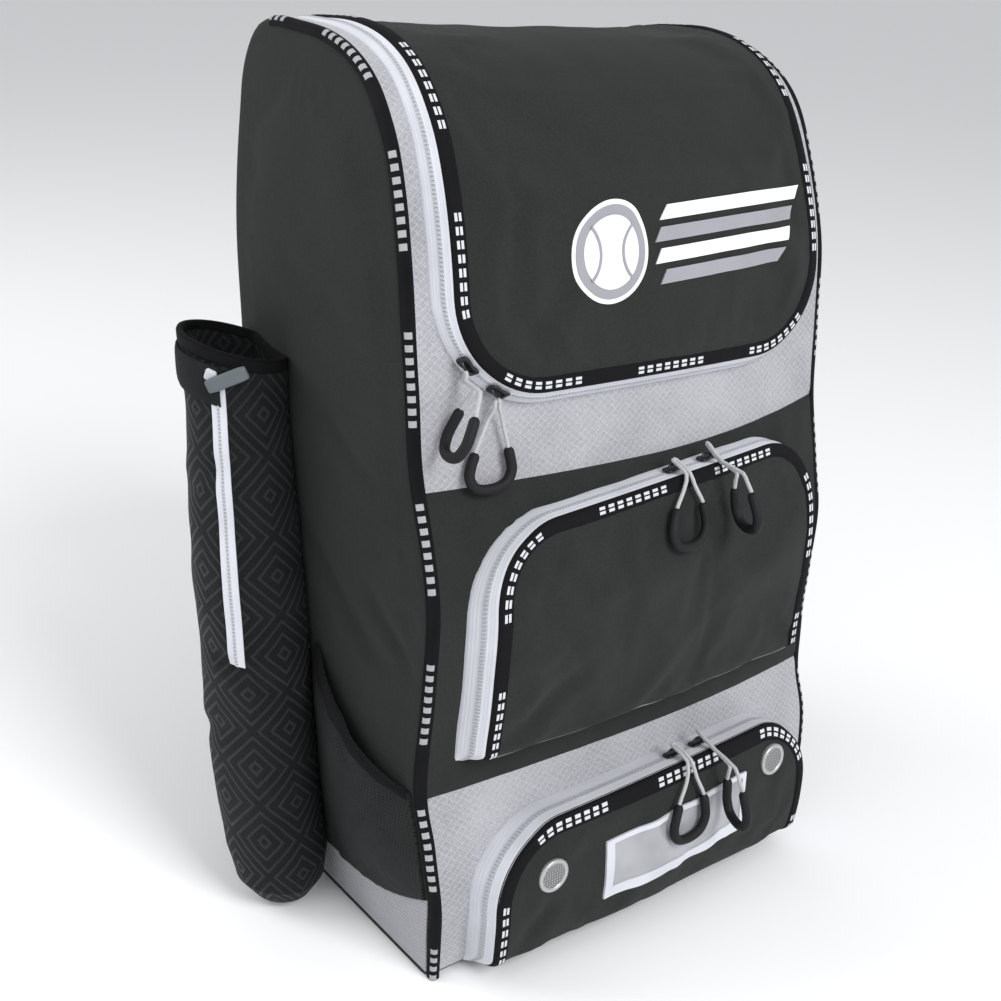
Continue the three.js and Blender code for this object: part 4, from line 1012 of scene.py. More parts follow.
def mark_share(along, width):
    """1 on marks of a width along a binding: eight to a group, then a plain length."""
    group = along % mark_repeat
    return ((group % mark_pitch) < width) * (group < marks_in_group * mark_pitch)


def barred_binding():
    """Black binding with groups of eight short white bars and plain lengths between them."""
    finish = Finish("binding", "binding", (0.012, 0.012, 0.014), 0.75, 0.0, gloss=0.12)
    u, v = finish.cloth()
    bar = mark_share(u, 4.8) * v.within(0.46) * (1 - v.within(0.09))
    colours = finish.blend(bar, (0.006, 0.006, 0.007), (0.66, 0.66, 0.70))
    ribs = (u + v * 3).wave(1.4)
    return finish.paint(colours, height=ribs * 0.6 + bar * 0.5, distance=0.25)


tape_finish = taped_cloth()
binding_finish = barred_binding()


def add_band(name, pocket, insets, shape, foot, finish, node, thickness):
    """A band round a pocket: shape gives its height above the cloth at each inset."""
    x, s, length = pocket_band(pocket, insets, foot)
    lift = rise(pocket, x, s)
    over = skin(x, s, lift + np.asarray(shape))
    under = skin(x, s, lift + np.asarray(shape) - thickness)
    across = np.linspace(-1, 1, len(insets))
    uv = np.stack(np.broadcast_arrays(length[:, None], across[None, :]), axis=-1)
    add_slab(name, over, under, finish, uv, [node])


def add_pocket(name, pocket):
    """A pocket's tape, binding and flap."""
    foot = pocket.foot + pocket.towards * 0.3
    gusset = pocket.gusset
    steepness = math.hypot(1, pocket.proud / gusset)
    shares = np.linspace(0, 1, 13)
    coil = 0.8 * np.exp(-(((shares - 0.5) / 0.1) ** 2))
    ends = 1.2 * (shares < 0.01) + 0.6 * (shares > 0.99)
    tape_shape = (coil - ends) * min(steepness, 2.0)
    add_band(f"{name}_tape_cloth", pocket, gusset * shares, tape_shape, foot, tape_finish,
             f"{name}_zip_tape", 2.0 * steepness)
    across = np.linspace(0, 1, 7)
    binding_shape = 0.2 + 1.5 * (1 - (2 * across - 1) ** 4)
    add_band(f"{name}_binding_cloth", pocket, gusset - 0.4 + binding_width * across,
             binding_shape, foot, binding_finish, f"{name}_binding", 2.6)
    x, s = pocket_fill(pocket, gusset + binding_width - 1.5)
    over = flap_point(pocket, x, s, 0.4)
    under = flap_point(pocket, x, s, -2.4)
    uv = np.stack([x, s], axis=-1)
    add_slab(f"{name}_flap_cloth", over, under, charcoal, uv, [f"{name}_flap"])


for pocket_name, pocket in pockets.items():
    add_pocket(pocket_name, pocket)


# Painted highlight: a pale thread where light catches the fold at the middle flap's foot.
hem_highlight_thread = woven("hem_highlight_thread", "grey_fabric", (0.34, 0.37, 0.36), 0.3)
hem_radius = 0.9


def add_hem_highlight():
    """A thin pale thread that waves along the foot of the middle flap: a painted highlight on its
    fold.
    """
    x = steps(-mid.half + mid.gusset + 4, mid.half - mid.gusset - 4, 3)[:, None]
    s = slanted(mid, x, mid.foot + 5.5) + 1.2 * ripple(x, 0 * x, 90, 5)
    s = s + 0.5 * ripple(x, 0 * x, 31, 8)
    around = np.linspace(0, 2 * math.pi, 10, endpoint=False)[None, :]
    rings = flap_point(mid, x, s + hem_radius * np.cos(around),
                       hem_radius + hem_radius * np.sin(around))
    uv = np.stack(np.broadcast_arrays(x, 0 * around + 3), axis=-1)
    add_stack("mid_hem_highlight", rings, hem_highlight_thread, uv)


add_hem_highlight()


# Side bindings: black woven tape, folded over a cord and sewn down both side seams, with short
# white bars along it in groups.


def corded_cloth(name, bars):
    """Black woven edge binding, plain or with a single row of white bars."""
    finish = Finish(name, "binding", (0.010, 0.010, 0.012), 0.7, 0.0, gloss=0.12)
    u, v = finish.cloth()
    ribs = (u + v * 6).wave(1.6)
    tone = 0.5 + ribs * 0.25 + (finish.grain(14.0) - 0.5) * 0.8
    colours = finish.blend(tone, (0.003, 0.003, 0.0035), (0.013, 0.013, 0.015))
    if bars:
        bar = mark_share(u + 35.0, 4.2) * (v - 4.3).within(1.25)
        colours = finish.blend(bar * 0.9, colours, (0.62, 0.62, 0.65))
    return finish.paint(colours, height=ribs, distance=0.2)


corded = corded_cloth("edge_binding", False)
barred_cord = corded_cloth("side_binding", True)


def add_side_bindings():
    """A strip round the seam's rounding, highest over its cord."""
    s = np.concatenate([[0.6 - outline_yz[0, 1]], steps(0, lid_end, 4)])[:, None]
    turns = np.linspace(17, 73, 11)[None, :]
    height = 0.5 + 2.3 * np.cos(np.radians((turns - 45) * 90 / 28)) ** 1.2
    wobble = 0.35 * ripple(s, turns, 60, 2)
    for side, name in ((-1, "left"), (1, "right")):
        over = seam_point(side, turns, s, height + wobble)
        under = seam_point(side, turns, s, -0.6 + 0 * wobble)
        uv = np.stack(np.broadcast_arrays(s, turns / 10), axis=-1)
        add_slab(f"side_cord_{name}", over, under, barred_cord, uv, [f"side_binding_{name}"])


add_side_bindings()


# Bat sleeve: an open tube of embossed cloth on the left side, flat where it is sewn to the
# side panel, with a zip down its front and a strap and buckle round its mouth.

sleeve_height = 408
sleeve_width = 77
sleeve_depth = 84
sleeve_wall = 3
sleeve_lift = 4
sleeve_top_back = 90
mouth_rise = 16
side_seat = 1.2
sleeve_middle = bag_width / 2 + sleeve_width / 2 + 0.3

sleeve_sections = np.array([
    # share of the height, how far in front of the mouth, shares of the width and the depth
    (0.000, 78, 0.30, 0.30), (0.012, 76, 0.56, 0.54), (0.045, 72, 0.84, 0.80),
    (0.100, 66, 0.96, 0.93), (0.240, 51, 1.00, 1.00), (0.400, 38, 1.02, 1.01),
    (0.560, 27, 1.03, 1.02), (0.700, 17, 1.00, 0.98), (0.800, 11, 0.95, 0.93),
    (0.900, 5, 0.92, 0.90), (1.000, 0, 0.94, 0.92),
])


def embossed_cloth():
    """Black coated cloth embossed with nested lozenges, one above the other."""
    finish = Finish("embossed", "embossed_fabric", (0.011, 0.012, 0.013), 0.5, 0.0, 0.0, 0.2)
    u, v = finish.cloth()
    out = abs((u + 27.5) % 55.0 - 27.5) + abs((v + 45.5) % 55.0 - 27.5)
    ring = out.line(9.2, 2.9)
    weave = u.wave(1.3) * v.wave(1.3)
    drift = finish.grain(50.0) - 0.5
    # Painted highlight: the lozenge rings, raised by the bump, are also painted lighter than the
    # black between them.
    tone = 0.2 + ring * 0.5 + weave * 0.12 + drift * 0.4 + (finish.grain(1.5) - 0.5) * 0.4
    colours = finish.blend(tone, (0.0015, 0.0018, 0.002), (0.036, 0.041, 0.042))
    rough = 0.62 - ring * 0.22
    return finish.paint(colours, rough, ring * 2.5 + weave * 0.4, 0.9)


embossed = embossed_cloth()


def sleeve_section(up):
    """The middle's depth and the shares of the width and the depth at shares of the height."""
    table = [np.interp(up, sleeve_sections[:, 0], sleeve_sections[:, k]) for k in (1, 2, 3)]
    return sleeve_top_back - table[0], table[1], table[2]


def sleeve_point(angle, up, above):
    """A point of the sleeve, a height above its cloth, at an angle round it and a share up."""
    angle, up, above = np.broadcast_arrays(*(np.asarray(v, float) for v in (angle, up, above)))
    middle, wide, deep = sleeve_section(up)
    rim = mouth_rise * (0.5 - 0.5 * np.cos(angle - 0.85 * math.pi))
    z = sleeve_lift + up * (sleeve_height - rim)
    outer = np.clip(1 - np.cos(angle), 0, 1) * np.clip(up / 0.1, 0, 1)
    dents = 1.3 * ripple(angle * 40, z, 105, 6) + 0.5 * ripple(angle * 40, z, 40, 8)
    for around, height, drop, depth in (
        (3.3, 300, 40, 1.6), (3.9, 205, -34, 1.6), (2.9, 120, 30, 1.5), (4.1, 60, 26, 1.4),
    ):
        start, end = (around * 40 - 34, height), (around * 40 + 34, height + drop)
        dents = dents + fold(angle * 40, z, start, end, 10, depth)
    raised = above + dents * outer * (0.4 + 0.6 * np.clip((1 - up) / 0.08, 0, 1))
    y = middle + (sleeve_depth / 2 * deep + raised) * np.sin(angle)
    x = -sleeve_middle + (sleeve_width / 2 * wide + raised) * np.cos(angle)
    wall_x = side_x(-1, y, z, side_seat)
    return np.stack([np.minimum(x, wall_x + np.minimum(above, 0)), y, z], axis=-1)


def add_sleeve():
    """One closed tube: up its outer face, over the rim and down its inner face."""
    angles = np.linspace(0, 2 * math.pi, 120, endpoint=False)[None, :]
    low_ups = [0.0, 0.006, 0.012, 0.022, 0.033, 0.045, 0.06, 0.08]
    ups = np.concatenate([low_ups, steps(0.1, 1.0, 0.009)])[:, None]
    outer = sleeve_point(angles, ups, 0.0)
    rim = np.stack([
        sleeve_point(angles, np.full((1, 1), 1.0 + lift), -inward)[0]
        for inward, lift in ((0.3, 0.0025), (1.1, 0.004), (1.9, 0.004), (2.7, 0.0025))
    ])
    inner = sleeve_point(angles, ups[:5:-1], -sleeve_wall)
    rings = np.concatenate([outer, rim, inner])
    around = (angles - 1.5 * math.pi) * 40
    uv = np.stack(np.broadcast_arrays(around, rings[..., 2]), axis=-1)
    add_stack("bat_sleeve_cloth", rings, embossed, uv, ["bat_sleeve"])


def add_sleeve_rim():
    """A bound edge round the sleeve's mouth."""
    angles = np.linspace(0, 2 * math.pi, 120, endpoint=False)[:, None]
    ups = np.array([0.984, 0.987, 0.994, 1.003, 1.007, 1.007, 1.003, 0.994])[None, :]
    lifts = np.array([0.2, 0.8, 1.0, 1.0, 0.3, -2.6, -3.8, -4.0])[None, :]
    rings = sleeve_point(angles, ups, lifts)
    rows, columns = rings.shape[:2]
    points = rings.reshape(-1, 3)
    i = np.arange(rows)[:, None]
    j = np.arange(columns)[None, :]
    i_next, j_next = (i + 1) % rows * columns, (j + 1) % columns
    i = i * columns
    faces = np.stack([i + j, i + j_next, i_next + j_next, i_next + j], axis=-1).reshape(-1, 4)
    uv = np.stack(np.broadcast_arrays(angles * 40, 2.0 * np.arange(8)[None, :]), axis=-1)
    add_mesh("sleeve_rim", points, faces, corded, uv)


add_sleeve()
add_sleeve_rim()

sleeve_zip_angle = 1.235 * math.pi
sleeve_zip_width = 11.05
sleeve_zip_top = 0.953
sleeve_zip_length = 196


def add_sleeve_zip():
    """A tape with a coil, straight down the sleeve's outer front face."""
    half = 2 * sleeve_zip_width / (sleeve_width + sleeve_depth)
    shares = np.linspace(-1, 1, 13)[None, :]
    foot = sleeve_zip_top - sleeve_zip_length / sleeve_height
    ups = steps(foot, sleeve_zip_top, 0.01)[:, None]
    coil = np.exp(-((shares / 0.24) ** 2))
    over = sleeve_point(sleeve_zip_angle + half * shares, ups, 1.4 + coil)
    under = sleeve_point(sleeve_zip_angle + half * shares, ups, -0.5)
    uv = np.stack(np.broadcast_arrays(ups * sleeve_height, shares), axis=-1)
    add_slab("sleeve_zip_tape", over, under, tape_finish, uv, ["sleeve_zip"])


add_sleeve_zip()


def webbing_cloth():
    """Black woven webbing with ribs across it. Its u runs along the band."""
    finish = Finish("webbing", "webbing", (0.014, 0.014, 0.015), 0.7, 0.0, gloss=0.12)
    u, v = finish.cloth()
    ribs = u.wave(2.0) * 0.6 + (u + v).wave(2.8) * 0.4
    tone = 0.5 + ribs * 0.3 + (finish.grain(10.0) - 0.5) * 0.4
    colours = finish.blend(tone, (0.005, 0.005, 0.006), (0.022, 0.023, 0.024))
    return finish.paint(colours, height=ribs, distance=0.3)


webbing = webbing_cloth()
webbing_width = 25
webbing_thickness = 2.4
strap_ups = (0.915, 0.98)
strap_root = 0.53 * bag_depth


def add_sleeve_strap():
    """Webbing from the bag's back edge round the outer face of the mouth."""
    ups = np.linspace(*strap_ups, 9)[:, None]
    angles = np.linspace(math.pi / 2, 1.25 * math.pi, 56)[None, :]
    edge = np.abs(np.linspace(-1, 1, 9))[:, None] ** 6

    def layer(above):
        round_mouth = sleeve_point(angles, ups, above + 0 * angles)
        root_z = round_mouth[:, :1, 2]
        root_y = strap_root - np.mean(above) + 0 * root_z
        root = np.stack([side_x(-1, root_y, root_z, 0.4), root_y, root_z], axis=-1)
        shares = np.linspace(0, 1, 12)[None, :-1, None]
        run = root + (round_mouth[:, :1] - root) * shares
        return np.concatenate([run, round_mouth], axis=1)

    over = layer(0.6 + webbing_thickness - 0.9 * edge)
    under = layer(0.3 + 0.2 * edge)
    uv = np.stack(np.broadcast_arrays(
        np.arange(over.shape[1])[None, :] * 2.1, np.linspace(0, webbing_width, 9)[:, None],
    ), axis=-1)
    add_slab("sleeve_strap_webbing", over, under, webbing, uv, ["sleeve_strap"])


add_sleeve_strap()


def plain(name, slot, colour, roughness, metallic=0.0, size=12.0, spread=0.2):
    """A moulded or metal finish: one colour with a slow drift and a little bump."""
    finish = Finish(name, slot, colour, roughness, 0.0, metallic, 0.3)
    drift = finish.grain(size, 3.0)
    colours = finish.blend(drift, shade(colour, 1 - spread), shade(colour, 1 + spread))
    rough = roughness - 0.08 + drift * 0.16
    return finish.paint(colours, rough, finish.grain(1.2), 0.06)


buckle_plastic = plain("buckle_plastic", "buckle_plastic", (0.11, 0.13, 0.14), 0.38)
buckle_size = (29, 5, 10)
buckle_tilt = math.radians(25)
buckle_angle = 1.3 * math.pi
buckle_up = 0.968
zip_end_size = (8, 4, 8)


def rounded_box(size, radius, turn, middle, name, finish, nodes):
    """A box with rounded edges: a cube's points drawn out to its corners and rounded."""
    n = 9
    t = np.linspace(-1, 1, n)
    grids = []
    for axis in range(3):
        for way in (-1, 1):
            a, b = np.meshgrid(t, t, indexing="ij")
            face = np.empty((n, n, 3))
            face[..., axis] = way
            face[..., (axis + 1) % 3] = a
            face[..., (axis + 2) % 3] = b
            grids.append(face if way > 0 else face[::-1])
    points = np.concatenate([grid.reshape(-1, 3) for grid in grids])
    faces = np.concatenate([grid_faces(n, n, k * n * n) for k in range(6)])
    half = np.array(size, float) / 2
    square = np.tan(points * math.pi / 4) * half
    inner = np.clip(square, radius - half, half - radius)
    away = square - inner
    length = np.maximum(np.linalg.norm(away, axis=1, keepdims=True), 1e-9)
    points = inner + away / length * radius
    _, first, back = np.unique(np.round(points, 4), axis=0, return_index=True, return_inverse=True)
    points = points[first] @ np.array(turn).T + middle
    return add_mesh(name, points, back.ravel()[faces], finish, None, nodes)


def add_buckle():
    """A small tilted bar with rounded ends on the strap."""
    seat = 0.6 + webbing_thickness + 2
    middle = sleeve_point(buckle_angle, buckle_up, seat)
    facing = Matrix.Rotation(buckle_angle + math.pi / 2, 3, "Z")
    turn = facing @ Matrix.Rotation(-buckle_tilt, 3, "Y")
    rounded_box(buckle_size, 2.2, turn, middle, "buckle_bar", buckle_plastic, ["sleeve_buckle"])


add_buckle()


def add_zip_end():
    """The folded end of the zip's tape, a small pale tab under the buckle."""
    angle = sleeve_zip_angle - 0.09
    middle = sleeve_point(angle, sleeve_zip_top + 0.012, 2.6)
    turn = Matrix.Rotation(angle + math.pi / 2, 3, "Z") @ Matrix.Rotation(0.3, 3, "Y")
    rounded_box(zip_end_size, 1.8, turn, middle, "sleeve_zip_end", tape_finish, [])


add_zip_end()


# Mesh pockets: dark net on both sides, sewn down the front, the foot and the back, and open
# at a bound hem that dips towards the front.


def net_cloth():
    """Black net: fine threads both ways with darker gaps between them."""
    finish = Finish("net", "mesh_fabric", (0.007, 0.008, 0.008), 0.75, 0.02)
    u, v = finish.cloth()
    threads = u.line(2.4, 1.2).math("MAXIMUM", v.line(2.4, 1.2))
    # Painted shade: the gaps are darker than both the threads and the charcoal cloth seen through
    # them.
    tone = threads * 0.6 + (finish.grain(40.0) - 0.5) * 0.6 + (finish.grain(2.2) - 0.5) * 0.4
    colours = finish.blend(tone, (0.0025, 0.003, 0.003), (0.017, 0.019, 0.019))
    return finish.paint(colours, height=threads, distance=0.5)


net = net_cloth()
mesh_bulge = 12
mesh_hem_front = 141
mesh_hem_back = 200


def mesh_point(side, u, v, above):
    """A point of the net: u runs from the front seam to the sleeve, v from foot to hem."""
    foot_y = -0.46 * bag_depth * (1 - u)
    hem = mesh_hem_front + (mesh_hem_back - mesh_hem_front) * u**1.3
    low_edge = foot_panel_top(foot_y) + 2
    z = low_edge + (hem - low_edge) * v
    middle, _, deep = sleeve_section((z - sleeve_lift) / sleeve_height)
    back = middle - 0.45 * sleeve_depth * deep
    front = depth_range(z)[0] + corner_radius
    y = front + (back - front) * u
    belly = mesh_bulge * np.sin(math.pi * u) ** 0.8 * np.sin(2.2 * v) ** 0.8
    slack = np.clip(belly / 4, 0, 1)
    dents = 1.2 * ripple(y, z, 60, 7) + fold(y, z, (-100, 150), (-50, 95), 8, 1.6)
    dents = dents + fold(y, z, (-20, 190), (-55, 130), 9, 1.6)
    x = side_x(side, y, z, side_seat + belly + dents * slack + above)
    return np.stack([x, y, z], axis=-1)


def add_mesh_pockets():
    """A net and the binding on its hem, on each side."""
    u = np.linspace(0, 1, 50)[None, :]
    v = np.linspace(0, 1, 56)[:, None]
    for side, name in ((-1, "left"), (1, "right")):
        over = mesh_point(side, u, v, 1.6)
        under = mesh_point(side, u, v, -1.0)
        uv = over[..., [1, 2]]
        hem = v > 0.93
        over = over + np.array([side * 1.0, 0, 0]) * hem[..., None]
        add_slab(f"mesh_net_{name}", over, under, net, uv, [f"mesh_pocket_{name}"])
        band = np.linspace(0.94, 1.006, 7)[:, None]
        swell_out = 0.8 + 1.4 * (1 - np.linspace(-1, 1, 7)[:, None] ** 4)
        over = mesh_point(side, u, band, 1.6 + swell_out)
        under = mesh_point(side, u, band, 0.4 + 0 * swell_out)
        uv = np.stack(np.broadcast_arrays(u * 130, band * 40), axis=-1)
        add_slab(f"mesh_hem_{name}", over, under, corded, uv)


add_mesh_pockets()


# Zip sliders and their pulls: dark metal sliders, each with a loop of pale cord that runs
# through a bent rubber grip.

slider_metal = plain("slider_metal", "slider_metal", (0.045, 0.046, 0.05), 0.32, 0.9, 4.0)
rubber = plain("moulded_rubber", "moulded_rubber", (0.006, 0.006, 0.007), 0.66, 0.0, 6.0)


def braided_cord():
    """Pale braided cord with fine diagonal strands."""
    colour = (0.47, 0.48, 0.49)
    finish = Finish("cord", "cord", colour, 0.8, 0.2)
    grain = finish.grain(0.9, 1.0)
    colours = finish.blend(grain, shade(colour, 0.7), shade(colour, 1.15))
    return finish.paint(colours, height=grain, distance=0.2)


cord_finish = braided_cord()
cord_diameter = 2.8
slider_length = 15
slider_width = 9
slider_height = 5
grip_diameter = 7
grip_mouth = 24
grip_length = 26
binding_rise = 1.4
cord_spread = 1.75

pulls = (
    # name, pocket, share of the width across, strand, lean to the right, turn, eye gap
    ("lid_outer", "lid", -0.402, 20, -24, 104, -0.6),
    ("lid_inner", "lid", -0.346, 34, -8, 0, 0.3),
    ("mid_left", "mid", 0.030, 18, -8, 0, 2.5),
    ("mid_right", "mid", 0.120, 16, 3, 110, 5.8),
    ("low_left", "low", 0.045, 20, -6, 0, 3.4),
    ("low_right", "low", 0.115, 16, 4, 110, 5.0),
)
grip_line = np.array([
    # share of the mouth's width aside, share of the length down
    (-1.0, 0.0), (-1.2, 0.3), (-1.3, 0.62), (-0.95, 0.9), (0.0, 1.0),
    (0.95, 0.9), (1.3, 0.62), (1.2, 0.3), (1.0, 0.0),
])


def outer_skin(x, along, above):
    """A point above whatever is outermost at a place: the panel or a flap."""
    lift = sum(rise(pocket, x, along) for pocket in pockets.values())
    return skin(x, along, above + lift)


def head_place(pocket, x, inset):
    """The length of cloth to an outline's round end, at a distance across."""
    corner = float(corner_at(pocket, inset))
    beside = max(abs(x) - pocket.half + inset + corner, 0)
    fall = corner - math.sqrt(max(corner**2 - beside**2, 0))
    s = pocket.head - pocket.towards * (float(head_inset(pocket, inset)) + fall)
    return float(slanted(pocket, x, s))


def tape_edges(pocket, x):
    """The two edges of a pocket's tape at a distance across: at the panel and the flap."""
    tape_inset = 0.6 * max(1, pocket.gusset / pocket.gusset_head)
    places = [head_place(pocket, x, inset) for inset in (tape_inset, pocket.gusset)]
    return [skin(x, s, float(rise(pocket, x, s))) for s in places]


def unit(v):
    """A vector made one long."""
    return v / np.linalg.norm(v)


def sweep(name, line, radii, sides, finish, nodes):
    """A round bar along points, with its radius at each, turned with the least twist."""
    line = np.asarray(line, float)
    ahead = np.gradient(line, axis=0)
    ahead /= np.linalg.norm(ahead, axis=1, keepdims=True)
    across = unit(np.cross(ahead[0], (0.31, 0.2, 0.93)))
    angles = np.linspace(0, 2 * math.pi, sides, endpoint=False)
    rings = []
    for point, way, radius in zip(line, ahead, radii):
        across = unit(across - way * np.dot(across, way))
        up = np.cross(way, across)
        ring = np.cos(angles)[:, None] * across + np.sin(angles)[:, None] * up
        rings.append(point + radius * ring)
    rings = np.array(rings)
    uv = np.zeros((*rings.shape[:2], 2))
    uv[..., 0] = np.arange(len(line))[:, None]
    return add_stack(name, rings, finish, uv, nodes)


def add_slider(name, frame_at):
    """A zip slider: a waisted body with a low arch over it."""
    middle, along, out = frame_at
    sideways = np.cross(along, out)
    turn = np.stack([along, out, sideways], axis=1)
    length, width, height = slider_length, slider_width, slider_height
    t = np.linspace(-1, 1, 21)
    waist = 1 - 0.28 * np.exp(-((t - 0.25) / 0.4) ** 2) - 0.25 * np.abs(t) ** 8
    crest = 0.42 - 0.1 * np.abs(t) ** 6
    rings = []
    for share, half, top in zip(t, waist, crest):
        angles = np.linspace(0, 2 * math.pi, 24, endpoint=False)
        c, s = np.cos(angles), np.sin(angles)
        soft = (np.abs(c) ** 4 + np.abs(s) ** 4) ** -0.25
        z = c * soft * half * width / 2
        y = height * top / 2 + s * soft * height * top / 2
        rings.append(np.stack([np.full(24, share * length / 2), y, z], axis=1))
    rings = np.array(rings) @ turn.T + middle
    uv = np.zeros((*rings.shape[:2], 2))
    add_stack(f"slider_body_{name}", rings, slider_metal, uv, [f"slider_{name}"])
    arch = np.linspace(0, math.pi, 17)
    line = np.stack([0.34 * length * np.cos(arch), height * (0.3 + 0.6 * np.sin(arch)),
                     0 * arch], axis=1)
    sweep(f"slider_arch_{name}", line @ turn.T + middle, np.full(17, 1.0), 12, slider_metal, [])


def add_cord(name, line):
    """A cord: an open round curve through points, with filled ends."""
    curve = bpy.data.curves.new(name, "CURVE")
    curve.dimensions = "3D"
    curve.bevel_depth = cord_diameter / 2 * MM
    curve.bevel_resolution = 4
    curve.use_fill_caps = True
    spline = curve.splines.new("POLY")
    spline.points.add(len(line) - 1)
    spline.points.foreach_set("co", np.hstack([line * MM, np.ones((len(line), 1))]).ravel())
    spline.use_smooth = True
    curve.materials.append(cord_finish.material)
    piece = bpy.data.objects.new(name, curve)
    bpy.context.scene.collection.objects.link(piece)
    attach(piece, "root")
    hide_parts(f"pull_{name}")


def add_pull(name, pocket_name, at, strand, lean, turn, eye_gap):
    """A slider, its grip and its cord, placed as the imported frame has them."""
    pocket = pockets[pocket_name]
    x0 = at * bag_width
    outer, flap_edge = tape_edges(pocket, x0)
    along = unit(tape_edges(pocket, x0 + 2)[0] - tape_edges(pocket, x0 - 2)[0])
    wall_way = unit(flap_edge - outer)
    out = unit(np.cross(wall_way, along)) * pocket.towards
    middle = (outer + flap_edge) / 2
    add_slider(name, (middle + 1.0 * out, along, out))
    clear = binding_rise + 1.2 + grip_diameter / 2
    angle = math.radians(turn)
    front = pocket.towards > 0
    start = head_place(pocket, x0, pocket.gusset if front else 0)

    def hang(aside, down, above):
        x = x0 + lean * down / (strand + grip_length) + aside * math.cos(angle)
        lift = above + (aside + 0.65 * grip_mouth) * math.sin(angle)
        return outer_skin(x, start - down, lift)

    grip_points = np.array([
        hang(aside * grip_mouth / 2, strand + 0.9 + grip_length * down, clear)
        for aside, down in grip_line
    ])
    grip_curve = curve_through(grip_points, 6)
    radii = np.full(len(grip_curve), grip_diameter / 2)
    radii[[0, -1]] *= 0.55
    radii[[1, -2]] *= 0.9
    grip = sweep(f"grip_{name}", grip_curve, radii, 16, rubber, [f"pull_grip_{name}"])

    def arm(way):
        return np.array([
            hang(way * grip_mouth * share / 2, strand * share, clear) for share in (1, 0.7, 0.4)
        ])

    left, right = arm(-1), arm(1)
    apart = unit(right[-1] - left[-1]) * cord_spread
    strand_rise = cord_diameter / 2 + abs(np.dot(apart, out))
    eye = middle + (slider_height + eye_gap + strand_rise) * out
    over_edge = flap_edge + (0.9 + strand_rise) * out
    over_edge = over_edge - np.array([0, binding_rise + 1.4 * cord_diameter, 0])
    edge = over_edge if front else eye - np.array([0, 0, 2 * cord_diameter])
    beside = eye + unit(edge - eye) * cord_spread
    line = np.array([
        beside - apart, edge - apart, *left[::-1], *grip_points[1:-1:2], *right,
        edge + apart, beside + apart,
    ])
    loop = curve_through(line, 2)
    bow = curve_through(np.array([loop[-1], eye, loop[0]]), 2)[1:-1]
    add_cord(f"cord_{name}", np.vstack([bow[2:], loop, bow[:2]]))


for pull in pulls:
    add_pull(*pull)


# Lower flap: two round metal vents, and a card window with a pale frame.

vent_diameter = 25.4
vent_thickness = 2.4
vent_seat = 0.7
vent_drops = {"left": 38, "right": 28.3}
vent_aside = 48.8
net_radius = 9.381


def vent_metal():
    """Silver grey metal. Its u and v start at the middle, which a fine net fills."""
    finish = Finish("vent_metal", "vent_metal", (0.42, 0.42, 0.43), 0.38, 0.0, 0.6)
    u, v = finish.cloth()
    holes = u.line(2.2, 1.3) * v.line(2.2, 1.3)
    inside = (u * u + v * v) < net_radius**2
    net_share = (1 - holes) * inside
    colours = finish.blend(net_share * 0.75, (0.46, 0.46, 0.47), (0.12, 0.12, 0.125))
    return finish.paint(colours, height=holes * inside, distance=0.6)


vent_finish = vent_metal()


def add_vents():
    """A turned ring with a sunken net on each side of the lower flap."""
    profile = np.array([
        (0.0, 0.45), (0.25, 0.47), (0.5, 0.5), (0.7, 0.52), (0.76, 0.7), (0.8, 0.93),
        (0.86, 1.0), (0.92, 0.97), (0.97, 0.8), (1.0, 0.5), (1.0, 0.2), (0.98, 0.0),
    ])
    angles = np.linspace(0, 2 * math.pi, 48, endpoint=False)
    for side, name in ((-1, "left"), (1, "right")):
        x = side * (low.half - vent_aside)
        s = float(slanted(low, x, low.head)) - vent_drops[name]
        centre = flap_point(low, x, s, vent_seat)
        across = unit(flap_point(low, x + 9, s) - flap_point(low, x - 9, s))
        up = flap_point(low, x, s + 9) - flap_point(low, x, s - 9)
        out = unit(np.cross(across, up))
        level = np.cross(out, across)
        rings = []
        for radius, height in profile[1:]:
            r = radius * vent_diameter / 2
            lift = height * vent_thickness if height > 0 else -1.2
            plane = np.cos(angles)[:, None] * across + np.sin(angles)[:, None] * level
            rings.append(centre + r * plane + lift * out)
        rings = np.array(rings)
        radii = profile[1:, 0] * vent_diameter / 2
        uv = np.stack([radii[:, None] * np.cos(angles), radii[:, None] * np.sin(angles)], -1)
        add_stack(f"vent_ring_{name}", rings, vent_finish, uv, [f"vent_{name}"])


add_vents()

window_width = 138
window_height = 42
window_border = 7
window_across = 0.0245 * bag_width
window_centre = 0.1077 * bag_height
window_tilt = 8


def clear_card():
    """A grey card behind clear film, its tone drifting a little at random."""
    finish = Finish("clear_film", "clear_film", (0.42, 0.43, 0.46), 0.18)
    finish.shader.inputs["Coat Weight"].default_value = 0.6
    drift = finish.grain(35.0)
    colours = finish.blend(drift, (0.20, 0.205, 0.22), (0.46, 0.47, 0.50))
    return finish.paint(colours, height=drift, distance=1.2)


clear_film = clear_card()


def window_grid(x_from, x_to, v_from, v_to, step=3.0):
    """Places of a rectangle of the tilted window, measured from its middle."""
    x = steps(x_from, x_to, step)[None, :]
    v = steps(v_from, v_to, step)[:, None]
    s = along_at_height(window_centre) + v + window_tilt * x / window_width
    return np.broadcast_arrays(window_across + x, s)


